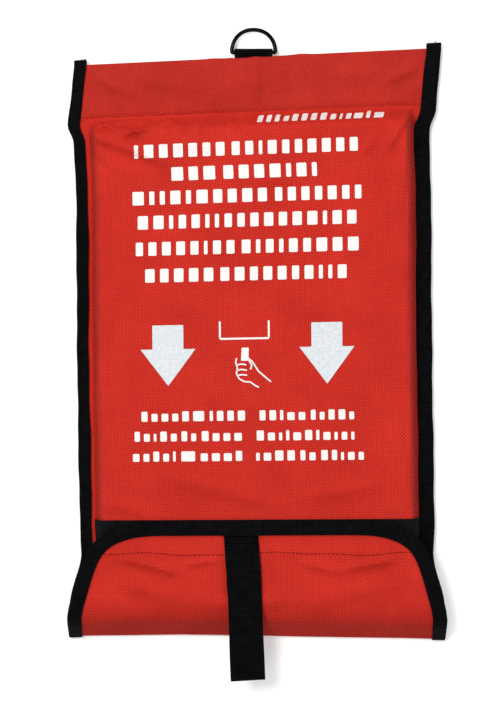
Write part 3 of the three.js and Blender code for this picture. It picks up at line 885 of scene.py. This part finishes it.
look = tabLook
around = np.radians(np.linspace(200, -20, 25))
loopY = ringLook["y"] + look["loop"] * np.cos(around)
loopZ = ringLook["barZ"] + look["loop"] * np.sin(around)
frontLegZ = np.linspace(look["bottom"], 426.6, 10)
legs = look["legMiddle"] - look["legGap"] - ease((frontLegZ - 424.5) / 5) * 0.5
frontLeg = np.stack([legs, frontLegZ], 1)
backLeg = np.stack([2 * look["legMiddle"] - legs, frontLegZ], 1)[::-1]
path = spaced(np.concatenate([frontLeg, np.stack([loopY, loopZ], 1), backLeg]), 0.8)
normal = leftOf(path)
columns = np.linspace(-look["half"], look["half"], 25)


def tabLayer(offset):
    line = path + normal * offset
    grid = np.empty((len(path), len(columns), 3))
    grid[..., 0] = columns + ringLook["x"]
    grid[..., 1] = line[:, :1]
    grid[..., 2] = line[:, 1:]
    return grid


ringTab = sheetPiece("ring_tape", tabLayer(look["thick"] / 2), tabLayer(-look["thick"] / 2), runAlong(path),
                     columns, strapWebbing, ringLook["x"])
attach(ringTab, "pouch")
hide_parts("ring_tab")

tabBox = [(-15, 411), (9, 411), (9, 423.5), (-15, 423.5), (-15, 411), (9, 423.5)]
boxPath = np.array([(x, 0.42, z) for x, z in tabBox])
tabSpines = [stitchSpines(boxPath[k:k + 2], towardsWall, 2.6) for k in range(5)]
tabThread = strands("ring_tape_stitches", np.concatenate(tabSpines), towardsWall, stitchRadii, blackThread)
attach(tabThread, "pouch")
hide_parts("tab_stitches")
print("ring made")


# the mouth fold and the closing flap, one cloth from the back panel round to the front

foldLook = {
    "backY": -0.3,
    "frontY": -26.4,
    "frontZ": 17.0,
    "backRadius": 0.5,
    "frontRadius": 23.0,
    "middle": 15.6,       # where the fold's cloth is parted, in the flat middle of the bottom
    "leadIn": 4.0,
    "half": 139.0,        # to the outer edge of its binding
    "clothHalf": 137.6,
    "tapeWidth": 10.0,
    "tapeHalf": 1.3,
}

look = foldLook
creaseBack = np.array([look["backY"], 0.0])
creaseFront = np.array([look["frontY"], look["frontZ"]])
slant = (creaseFront - creaseBack) / np.linalg.norm(creaseFront - creaseBack)


def corner(point, wayIn, wayOut, radius, steps):
    # the points of a rounded corner
    wayIn, wayOut = np.asarray(wayIn, float), np.asarray(wayOut, float)
    turn = math.acos(float(np.clip(wayIn @ wayOut, -1, 1)))
    reach = radius * math.tan(turn / 2)
    inward = wayOut - wayIn * (wayIn @ wayOut)
    inward /= np.linalg.norm(inward)
    centre = point - wayIn * reach + inward * radius
    angles = np.linspace(0, turn, steps)[:, None]
    return centre - inward * radius * np.cos(angles) + wayIn * radius * np.sin(angles)


foldPath = np.concatenate([
    [[look["backY"], look["leadIn"] + 6]],
    corner(creaseBack, (0, -1), slant, look["backRadius"], 13),
    corner(creaseFront, slant, (0, 1), look["frontRadius"], 13),
    [[look["frontY"], 100.0]]])
foldRun = runAlong(foldPath)
foldRun = foldRun - foldRun[1 + 6]            # nought at the back crease, the middle of its 13 points
flapShift = foldRun[-1] - foldPath[-1, 1]     # run at height z on the flap is z plus this

flapPulls = [
    (-96, 58, -58, 48, 2.6, 3.0), (-52, 54, -30, 57, 2.4, 2.0), (34, 55, 62, 48, 2.6, 2.4),
    (66, 51, 98, 57, 2.6, 2.8), (-104, 42, -60, 30, 6.0, 2.0), (46, 30, 104, 40, 6.0, 2.0),
    (-34, 26, 26, 29, 5.0, 1.4), (-28, 60, -26, 32, 3.6, 1.3), (4, 62, 9, 28, 3.6, 1.4),
    (-88, 46, -82, 34, 2.8, 1.8),
]


def flapWaves(x, run):
    z = run - flapShift
    tucks = seamPuckers(x - 12, z - 61.5, 4.0, 1.1)
    on = ease((run - foldLook["middle"]) / 12) * ease((120 - np.abs(x)) / 12) * ease((72 - z) / 8)
    return on * (0.25 + tucks + pulledOut(x, z, flapPulls) + 0.3 * np.sin(x / 21 + 0.4) * np.sin(z / 13))


def onFold(x, run, off):
    # a place on the fold's cloth: across, along from the back crease, and out from its middle
    x, run, off = np.broadcast_arrays(np.asarray(x, float), np.asarray(run, float), np.asarray(off, float))
    y, z = (np.interp(run, foldRun, line) for line in foldPath.T)
    ahead = np.stack([np.interp(run + 0.2, foldRun, line) - np.interp(run - 0.2, foldRun, line)
                      for line in foldPath.T], -1)
    ahead /= np.linalg.norm(ahead, axis=-1, keepdims=True)
    return np.stack([x, y - ahead[..., 1] * off, z + ahead[..., 0] * off], -1)


def foldSheet(name, runs, shares, halfAt):
    x = shares * halfAt(runs)[:, None]
    run = np.broadcast_to(runs[:, None], x.shape)
    lift = flapWaves(x, run)
    outer = onFold(x, run, lift + pouch["cloth"] / 2)
    inner = onFold(x, run, lift - pouch["cloth"] / 2)
    return sheetPiece(name, outer, inner, runs, x, redCloth)


shares = np.linspace(-1, 1, 93)
runs = np.concatenate([np.linspace(-1.6, 3.0, 16)[:-1], np.linspace(3.0, look["middle"], 8)])
foldCloth = foldSheet("mouth_cloth", runs, shares, lambda run: np.full(np.shape(run), look["clothHalf"]))
spot(0, -0.2, 0)
spot(0, -3.4, 0)
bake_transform(foldCloth)
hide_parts("mouth_fold")

flapLook = {
    # half the flap's width against height, to the outer edge of its binding, up to the level top
    "edge": [(139.0, 15.0), (138.6, 17.5), (137.6, 24.0), (134.8, 33.0), (131.8, 43.4), (128.2, 54.0),
             (124.8, 62.0), (120.6, 68.5), (115.0, 74.0), (107.5, 78.8), (99.0, 82.0), (90.0, 84.2),
             (80.0, 85.3), (70.0, 85.5)],
    "cloth": 1.3,         # how far the cloth's edge stays inside
    "tapeWidth": 10.5,
    "stitchIn": 9.0,
    "stitchFrom": 21.0,   # height where its stitches begin, above the front crease
}


def smoothLine(points, times):
    # cuts the corners of an open line, keeping its ends
    points = np.asarray(points, float)
    for time in range(times):
        before, after = points[:-1], points[1:]
        cut = np.stack([0.75 * before + 0.25 * after, 0.25 * before + 0.75 * after], 1).reshape(-1, 2)
        points = np.concatenate([points[:1], cut[1:-1], points[-1:]])
    return points


flapEdge = smoothLine(flapLook["edge"], 2)
clothEdge = flapEdge + leftOf(flapEdge) * flapLook["cloth"]


def flapHalf(run):
    # half the cloth's width at a run along the flap
    return np.interp(run - flapShift, clothEdge[:, 1], clothEdge[:, 0])


topRun = flapShift + clothEdge[-1, 1] - 0.01
cornerRun = flapShift + 60
cornerRows = cornerRun + (topRun - cornerRun) * np.sin(np.linspace(0, math.pi / 2, 26))
runs = np.concatenate([np.linspace(look["middle"], 40, 22)[:-1], np.linspace(40, cornerRun, 18)[:-1],
                       cornerRows])
flapCloth = foldSheet("flap_cloth", runs, shares, flapHalf)
spot(0, -26.4, 14.2)
spot(0, -26.4, 19.8)
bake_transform(flapCloth)
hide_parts("closure_flap")
print("fold and flap made")


# bindings round the fold and the flap

def foldTape(name, outline, inward, runOf, width, swell=None):
    # a tape folded round the fold's or the flap's edge; outline holds across and along
    ring, across = tapeSection(width, -foldLook["tapeHalf"], foldLook["tapeHalf"])
    x = outline[:, :1] + inward[:, :1] * ring[:, 0]
    run = outline[:, 1:] + inward[:, 1:] * ring[:, 0]
    off = np.broadcast_to(-ring[:, 1], x.shape).copy()
    if swell is not None:
        off = off + (off > 0.2) * swell(x, run)
    return skin(name, onFold(x, run, off), runOf, across, bindingTape)


for side, hand in ((-1, "left"), (1, "right")):
    marks = np.concatenate([np.linspace(-look["leadIn"], -1.6, 4)[:-1], np.linspace(-1.6, 2.6, 15)[:-1],
                            np.linspace(2.6, look["middle"], 9)])
    outline = np.stack([np.full(len(marks), side * look["half"]), marks], 1)
    inward = np.stack([np.full(len(marks), -side), np.zeros(len(marks))], 1)
    tape = foldTape(hand + "_fold_tape", outline, inward, marks, look["tapeWidth"])
    spot(0, -0.2, 0)
    spot(0, -3.4, 0)
    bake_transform(tape)
    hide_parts(hand + "_fold_binding")

lowRuns = np.linspace(look["middle"], flapShift + flapEdge[0, 1], 14)[:-1]
topX = np.linspace(flapEdge[-1, 0], 0, 46)[1:]
rightHalf = np.concatenate([np.stack([np.full(13, flapEdge[0, 0]), lowRuns], 1), flapEdge + [0, flapShift],
                            np.stack([topX, np.full(45, flapEdge[-1, 1] + flapShift)], 1)])
outline = spaced(np.concatenate([rightHalf, (rightHalf * [-1, 1])[::-1][1:]]), 1.6)
inward = leftOf(outline)
tapeRun = runAlong(outline)

strapLook = {
    "half": 12.5,
    "thick": 1.2,
    "topX": -11.9,
    "topZ": 74.8,
    "lean": 3.1,
    "end": -29.4,
    "slant": 2.0,
    "tucked": 83.0,
    "tuckY": -27.42,
    "hangY": -31.0,
    "boxHalf": 10.5,
    "box": (76.6, 83.0),
}


def overStrap(x, run):
    # the flap's binding humps over the strap sewn under it, and waves a little elsewhere
    beside = strapLook["half"] + 4.5 - np.abs(x - strapLook["topX"])
    hump = 1.3 * ease(beside / 4.0) * ease((run - flapShift - 60) / 6)
    return hump + 0.12 * (1 + np.sin(x / 13 + 0.8)) + 0.1 * (1 + np.sin(x / 5.1))


flapTape = foldTape("flap_tape", outline, inward, tapeRun, flapLook["tapeWidth"], overStrap)
spot(0, -26.4, 14.2)
spot(0, -26.4, 19.8)
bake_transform(flapTape)
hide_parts("flap_binding")

sewn = outline[:, 1] > flapShift + flapLook["stitchFrom"]
threadX, threadRun = (outline[sewn] + inward[sewn] * flapLook["stitchIn"]).T
onTape = foldLook["tapeHalf"] + stitchLook["clear"]
frontLine = onFold(threadX, threadRun, onTape + overStrap(threadX, threadRun))
flapThread = sewnThrough("flap_tape_stitches", frontLine, onFold(threadX, threadRun, -onTape))
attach(flapThread, "flap")
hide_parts("flap_binding_thread")

hookX = np.linspace(-112, 112, 180)
hookRun = flapShift + 61.6 + 0.9 * np.sin(hookX / 17 + 0.5) + 0.5 * np.sin(hookX / 7.3)
hookLine = onFold(hookX, hookRun, pouch["cloth"] / 2 + stitchLook["clear"] + flapWaves(hookX, hookRun))
hookThread = strands("hook_tape_stitches", stitchSpines(hookLine, towardsRoom), towardsRoom, stitchRadii,
                     darkRedThread)
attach(hookThread, "flap")
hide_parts("hook_strip_thread")
print("flap bindings made")


# pull strap

look = strapLook
marks = np.concatenate([np.linspace(look["tucked"], 60, 34)[:-1], np.linspace(60, look["end"], 60)])
columns = np.linspace(-1, 1, 13)
below = look["topZ"] - marks
centreX = look["topX"] + below * math.tan(math.radians(look["lean"])) * (below > 0)
centreX = centreX + 0.5 * np.sin(marks / 26) * ease(below / 20)
hang = ease((74.5 - marks) / 19)
middleY = look["tuckY"] + (look["hangY"] - look["tuckY"]) * hang
middleY = middleY + 0.7 * np.sin(marks / 19 + 0.6) * ease((55 - marks) / 25)
strapX = centreX[:, None] + look["half"] * columns * (1 - 0.012 * np.sin(marks / 11))[:, None]
cup = 0.35 * (1 - columns ** 2) * ease((60 - marks) / 30)[:, None]
strapZ = marks[:, None] + look["slant"] * 0.5 * columns * ease((20 - marks) / 50)[:, None]
edge = 0.25 * (np.abs(columns) > 0.99)
outer = np.stack([strapX, (middleY - look["thick"] / 2)[:, None] - cup + edge, strapZ], -1)
inner = np.stack([strapX, (middleY + look["thick"] / 2)[:, None] - cup - edge, strapZ], -1)
pullStrap = sheetPiece("pull_webbing", outer, inner, look["tucked"] - marks, look["half"] * columns,
                       strapWebbing)
spot(look["topX"], -27.4, 76.5)
spot(look["topX"], -27.4, 67.0)
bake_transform(pullStrap)
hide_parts("pull_strap", "strap_sewn_end")

left, right = look["topX"] - look["boxHalf"], look["topX"] + look["boxHalf"]
low, high = look["box"]
boxLine = [(left, low), (right, low), (right, high), (left, high), (left, low)]
boxSpines = []
for (x0, z0), (x1, z1) in zip(boxLine, boxLine[1:]):
    lineX = np.linspace(x0, x1, 12)
    lineRun = flapShift + np.linspace(z0, z1, 12)
    line = onFold(lineX, lineRun, onTape + overStrap(lineX, lineRun))
    boxSpines.append(stitchSpines(line, towardsRoom, 2.4))
strapThread = strands("strap_box_stitches", np.concatenate(boxSpines), towardsRoom, stitchRadii, blackThread)
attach(strapThread, "flap")
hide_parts("strap_stitches")
print("pull strap made")


# the blanket, one sheet folded seven times across and five times along

blanketLook = {
    "half": 107.1,
    "bottom": 10.0,
    "top": 369.8,
    "back": -1.8,
    "run": 3.15,
    "pitch": 3.5,
    "layers": 7,
    "runs": 5,
    "cloth": 0.36,
}

look = blanketLook
layerPitch = look["run"] / look["layers"]
turnRadius = layerPitch / 2
across = []
for layer in range(look["layers"]):
    ends = look["half"] - turnRadius - look["cloth"] / 2
    sign = 1 if layer % 2 == 0 else -1
    depth = (layer + 0.5) * layerPitch - look["run"] / 2
    across += [(x, depth) for x in np.linspace(-ends, ends, 9) * sign]
    if layer < look["layers"] - 1:
        for angle in np.radians([30, 70, 110, 150]):
            across.append((sign * (ends + turnRadius * math.sin(angle)),
                           depth + turnRadius * (1 - math.cos(angle))))
across = np.array(across)

pileRadius = (look["runs"] * look["pitch"]) / 2 - 0.1
pileMiddle = look["back"] - look["run"] / 2 - (look["runs"] - 1) / 2 * look["pitch"]
halfPitch = look["pitch"] / 2


def endHeight(y, reach, sign):
    # how far up or down a turn may sit, so that the pile's ends stay round and clear the fold
    room = math.sqrt(max(0.0, (pileRadius - reach) ** 2 - (y - pileMiddle) ** 2))
    return look["top"] - pileRadius + room if sign > 0 else look["bottom"] + pileRadius - room


lines = []
begin = endHeight(look["back"], 0, -1)
for run in range(look["runs"]):
    y = look["back"] - look["run"] / 2 - run * look["pitch"]
    sign = 1 if run % 2 == 0 else -1
    last = run == look["runs"] - 1
    if last:
        end = endHeight(y - look["run"] / 2, 0, sign)
    else:
        end = endHeight(y - halfPitch, halfPitch + look["run"] / 2, sign)
    lines += [(y, z) for z in np.linspace(begin, end, 15)]
    begin = end
    if not last:
        for angle in np.radians([20, 50, 90, 130, 160]):
            lines.append((y - halfPitch * (1 - math.cos(angle)), end + sign * halfPitch * math.sin(angle)))
lines = np.array(lines)
lineNormal = -leftOf(lines)
acrossNormal = leftOf(across)


def blanketLayer(offset):
    section = across + acrossNormal * offset
    grid = np.empty((len(lines), len(section), 3))
    grid[..., 0] = section[:, 0]
    grid[..., 1] = lines[:, :1] + lineNormal[:, :1] * section[:, 1]
    grid[..., 2] = lines[:, 1:] + lineNormal[:, 1:] * section[:, 1]
    return grid


blanket = sheetPiece("blanket_cloth", blanketLayer(look["cloth"] / 2), blanketLayer(-look["cloth"] / 2),
                     runAlong(lines), runAlong(across), glassCloth)
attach(blanket, "blanket")
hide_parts("folded_blanket")

pullTapeLook = {
    "x": 55.0,
    "half": 12.5,
    "low": 22.7,
    "high": 80.7,
    "front": -20.45,
    "thick": 1.1,
}

look = pullTapeLook
rows = np.linspace(look["low"], look["high"], 30)
columns = np.linspace(-look["half"], look["half"], 11)
for side, hand in ((-1, "left"), (1, "right")):
    gridX, gridZ = np.meshgrid(columns + side * look["x"], rows)
    wave = 0.05 * np.sin(gridZ / 6)
    outer = np.stack([gridX, look["front"] + wave, gridZ], -1)
    inner = outer + [0, look["thick"], 0]
    tape = sheetPiece(hand + "_pull_webbing", outer, inner, rows, columns, strapWebbing)
    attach(tape, "blanket")
    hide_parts(hand + "_pull_tape")
print("blanket made")


# the printed marks: plain blocks in word lengths, two arrows and a hand pulling a tab

printLook = {
    "film": 0.16,
    "clear": 0.16,
    "step": 2.6,
    "fineAbove": 340.0,     # the cloth is more puckered from here up
    "fineStep": 0.9,
    "between": 0.42,
    "widths": [0.45, 0.8, 0.9, 1.0, 1.0, 1.1],
}

# height of the row's middle, letter height, letter pitch, slope of the letters, words from x to x
wordRows = [
    (379.8, 6.2, 6.4, 0.22, [(4.4, 27.0), (29.5, 72.0), (74.0, 95.5)]),
    (357.9, 10.0, 9.3, 0.0, [(-85.3, -19.8), (-14.7, 76.4)]),
    (340.7, 10.0, 9.3, 0.0, [(-58.8, -27.2), (-21.3, 46.3)]),
    (323.4, 10.0, 9.3, 0.0, [(-87.5, 9.6), (15.4, 77.9)]),
    (305.4, 10.0, 9.3, 0.0, [(-83.8, 74.2)]),
    (285.9, 10.0, 9.3, 0.0, [(-85.3, -14.0), (-8.8, 75.7)]),
    (266.1, 10.0, 9.3, 0.0, [(-78.6, -29.4), (-24.3, 66.9)]),
    (162.4, 7.4, 6.7, 0.0, [(-82.3, -48.0), (-45.0, -37.0), (-33.0, -7.5), (3.0, 36.0), (40.0, 71.3)]),
    (147.7, 7.4, 6.7, 0.0, [(-87.5, -57.0), (-53.6, -43.0), (-39.0, -10.0), (0.7, 71.3)]),
    (133.0, 7.4, 6.7, 0.0, [(-88.9, -58.0), (-54.0, -44.0), (-40.0, -10.0), (0.0, 28.0), (32.0, 43.0),
                            (47.0, 77.9)]),
]


def rounded(outline, radius):
    # cuts each corner of an outline in three short steps
    outline = np.asarray(outline, float)
    radius = min(radius, 0.3 * np.linalg.norm(outline - np.roll(outline, 1, axis=0), axis=1).min())
    points = []
    for k, here in enumerate(outline):
        before, after = outline[k - 1], outline[(k + 1) % len(outline)]
        a = here + (before - here) / np.linalg.norm(before - here) * radius
        b = here + (after - here) / np.linalg.norm(after - here) * radius
        points += [a, 0.25 * a + 0.5 * here + 0.25 * b, b]
    return np.array(points)


def printed(name, outlines, material):
    # one thin film of ink for each outline, laid on the front panel
    spots, faces = [], []
    for outline in outlines:
        outline = np.asarray(outline, float)
        low, high = outline.min(0), outline.max(0)
        step = printLook["fineStep"] if high[1] > printLook["fineAbove"] else printLook["step"]
        gridX, gridZ = np.meshgrid(*[np.arange(low[k], high[k], step) + step / 3 for k in (0, 1)])
        flat = [tuple(p) for p in outline] + [tuple(p) for p in np.stack([gridX.ravel(), gridZ.ravel()], 1)]
        made = delaunay_2d_cdt(flat, [], [list(range(len(outline)))], 1, 1e-4)
        flatPoints = np.array([tuple(p) for p in made[0]])
        triangles = np.array([list(f) for f in made[2]])
        used = np.unique(triangles)
        index = np.full(len(flatPoints), -1)
        index[used] = np.arange(len(used))
        flatPoints, triangles = flatPoints[used], index[triangles]
        surface = frontOuter(flatPoints[:, 0], flatPoints[:, 1])
        begin = sum(len(s) for s in spots)
        size = len(flatPoints)
        for above in (printLook["clear"] + printLook["film"], printLook["clear"]):
            spots.append(np.stack([flatPoints[:, 0], surface - above, flatPoints[:, 1]], 1))
        edges = {}
        for a, b, c in triangles:
            for edge in ((a, b), (b, c), (c, a)):
                edges[edge] = True
        faces += [(begin + a, begin + b, begin + c) for a, b, c in triangles]
        faces += [(begin + size + c, begin + size + b, begin + size + a) for a, b, c in triangles]
        for a, b in edges:
            if (b, a) not in edges:
                faces.append((begin + b, begin + a, begin + size + a))
                faces.append((begin + b, begin + size + a, begin + size + b))
    spots = np.concatenate(spots)
    faces = np.array(faces)
    uv = spots[:, [0, 2]][faces] / 1000
    piece = makePiece(name, inPlace(spots), faces, uv, material, 50)
    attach(piece, "pouch")


def stroke(points, width):
    # an outline round a line of even width
    points = np.asarray(points, float)
    side = leftOf(points) * width / 2
    return np.concatenate([points + side, (points - side)[::-1]])


blocks = []
for middleZ, tall, pitch, slope, words in wordRows:
    for x0, x1 in words:
        letters = max(1, round((x1 - x0) / pitch))
        widths = [dice.choice(printLook["widths"]) for k in range(letters)]
        clear = pitch * printLook["between"]
        unit = (x1 - x0 - clear * (letters - 1)) / sum(widths)
        right = x0 - clear
        for width in widths:
            left = right + clear
            right = left + unit * width
            low = middleZ - tall / 2
            high = low + tall * (1 if tall > 9 or dice.random() < 0.4 else 0.78)
            lean = slope * tall / 2
            corners = [(left - lean, low), (right - lean, low), (right + lean, high), (left + lean, high)]
            blocks.append(rounded(corners, 0.9))
printed("word_blocks", blocks, wordInk)

arrow = {"half": 19.9, "shaft": 11.2, "top": 229.5, "shoulder": 211.8, "tip": 184.8, "centres": (-62.6, 52.2)}
arrowRight = [(arrow["half"], arrow["shoulder"]), (arrow["shaft"], arrow["shoulder"]),
              (arrow["shaft"], arrow["top"])]
arrowLeft = [(-x, z) for x, z in arrowRight[::-1]]
arrows = [rounded([(centreX + x, z) for x, z in arrowLeft + [(0, arrow["tip"])] + arrowRight], 0.5)
          for centreX in arrow["centres"]]
printed("arrow_marks", arrows, arrowInk)

signLines = [
    [(-25.0, 231.5), (-25.0, 219.0)], [(-25.0, 218.7), (10.3, 218.7)], [(10.3, 219.0), (10.3, 231.5)],
]
handLines = [
    [(-13.2, 204.5), (-13.8, 201.0), (-12.6, 197.5)], [(-13.4, 199.2), (-9.8, 200.2), (-6.2, 199.4)],
    [(-13.4, 195.4), (-9.6, 196.2), (-5.8, 195.4)], [(-12.6, 191.8), (-9.2, 192.4), (-5.6, 191.8)],
    [(-12.6, 197.5), (-13.4, 193.4), (-11.4, 189.4), (-7.6, 187.2), (-3.4, 186.9)],
    [(-5.2, 204.6), (-2.0, 202.0), (0.4, 198.2), (2.6, 194.6), (7.4, 190.4), (11.6, 186.8)],
    [(-3.4, 186.9), (0.2, 184.2), (2.8, 182.9)], [(-4.6, 203.4), (-2.2, 199.0), (-3.2, 196.0)],
]
signShapes = [stroke(line, 1.4) for line in signLines]
signShapes.append(rounded([(-9.4, 212.0), (-4.2, 212.0), (-4.6, 202.4), (-10.0, 202.4)], 0.4))
signShapes += [stroke(spaced(line, 1.5), 1.1) for line in handLines]
printed("pull_sign", signShapes, wordInk)
print("print made:", len(blocks), "blocks")


# stage and lamps

stage = {
    "wall": "#F6F6F6",
    "floor": "#EFEFED",
    "wallGlow": 0.18,     # a little light of its own keeps the shadows faint
    "wallGap": 2.6,
    "floorDrop": 150.0,
    "half": 14.0,         # in metres
    "sky": 0.3,
    "lampAim": (0, -10, 210),
}


def stagePlane(name, corners, colour, roughness, glow):
    mesh = bpy.data.meshes.new(name)
    mesh.from_pydata([spot(*c) for c in corners], [], [(0, 1, 2, 3)])
    plane = bpy.data.objects.new(name, mesh)
    bpy.context.scene.collection.objects.link(plane)
    # Matt paint, rolled: a pale even ground that takes soft shadows; seen from behind it is not there.
    material, tree = startMaterial(name + "Paint")
    paint = addNode(tree, "BsdfPrincipled", {"Base Color": linear(colour), "Roughness": roughness,
                                             "Specular IOR Level": 0.1, "Emission Color": linear(colour),
                                             "Emission Strength": glow})
    behind = addNode(tree, "NewGeometry", output="Backfacing")
    mixed = addNode(tree, "MixShader", [behind, paint, addNode(tree, "BsdfTransparent")])
    addNode(tree, "OutputMaterial", [mixed])
    mesh.materials.append(material)
    plane.visible_shadow = False
    return plane


def square(half, place):
    # the corners of a large square, where place says what across and along are
    return [place(*c) for c in ((-half, -half), (half, -half), (half, half), (-half, half))]


far = stage["half"] * 1000
wallY = sideTapeLook["back"] + stage["wallGap"]
wall = stagePlane("wall", square(far, lambda x, z: (x, wallY, z)), stage["wall"], 0.9, stage["wallGlow"])
wall.visible_diffuse = False
wall.visible_glossy = False
wall.visible_transmission = False
floorZ = -stage["floorDrop"]
floorPlane = stagePlane("floor", square(far, lambda x, y: (x, y, floorZ)), stage["floor"], 0.85, 0.0)
floorPlane.visible_diffuse = False      # it would light the pouch from below

lamps = {
    # name: place in mm, size in m, power in W, colour
    "keyLeft": ((-850, -2350, 850), 0.85, 39.0, "#FFFAF4"),
    "fillRight": ((1700, -1350, 120), 1.6, 11.0, "#F8FAFF"),
    "top": ((-250, -1250, 2200), 1.4, 24.0, "#FFFFFF"),
    "low": ((0, -1500, -450), 1.2, 5.5, "#FFFFFF"),
    "backLeft": ((-1100, 1500, 700), 1.6, 15.0, "#FFFFFF"),
    "backRight": ((1100, 1400, 300), 1.6, 9.0, "#FFFFFF"),
}
target = Vector(spot(*stage["lampAim"]))
for name, (place, size, power, colour) in lamps.items():
    lampData = bpy.data.lights.new(name, "AREA")
    lampData.shape = "DISK"
    lampData.size = size
    lampData.energy = power
    lampData.color = linear(colour)[:3]
    lamp = bpy.data.objects.new(name, lampData)
    lamp.location = spot(*place)
    lamp.rotation_euler = (target - lamp.location).to_track_quat("-Z", "Y").to_euler()
    bpy.context.scene.collection.objects.link(lamp)

world = bpy.data.worlds.new("studio")
world.use_nodes = True
bpy.context.scene.world = world
background = world.node_tree.nodes["Background"]
background.inputs["Color"].default_value = linear("#FFFFFF")
background.inputs["Strength"].default_value = stage["sky"]
bpy.context.scene.view_settings.view_transform = "Standard"
print("stage and lights set")
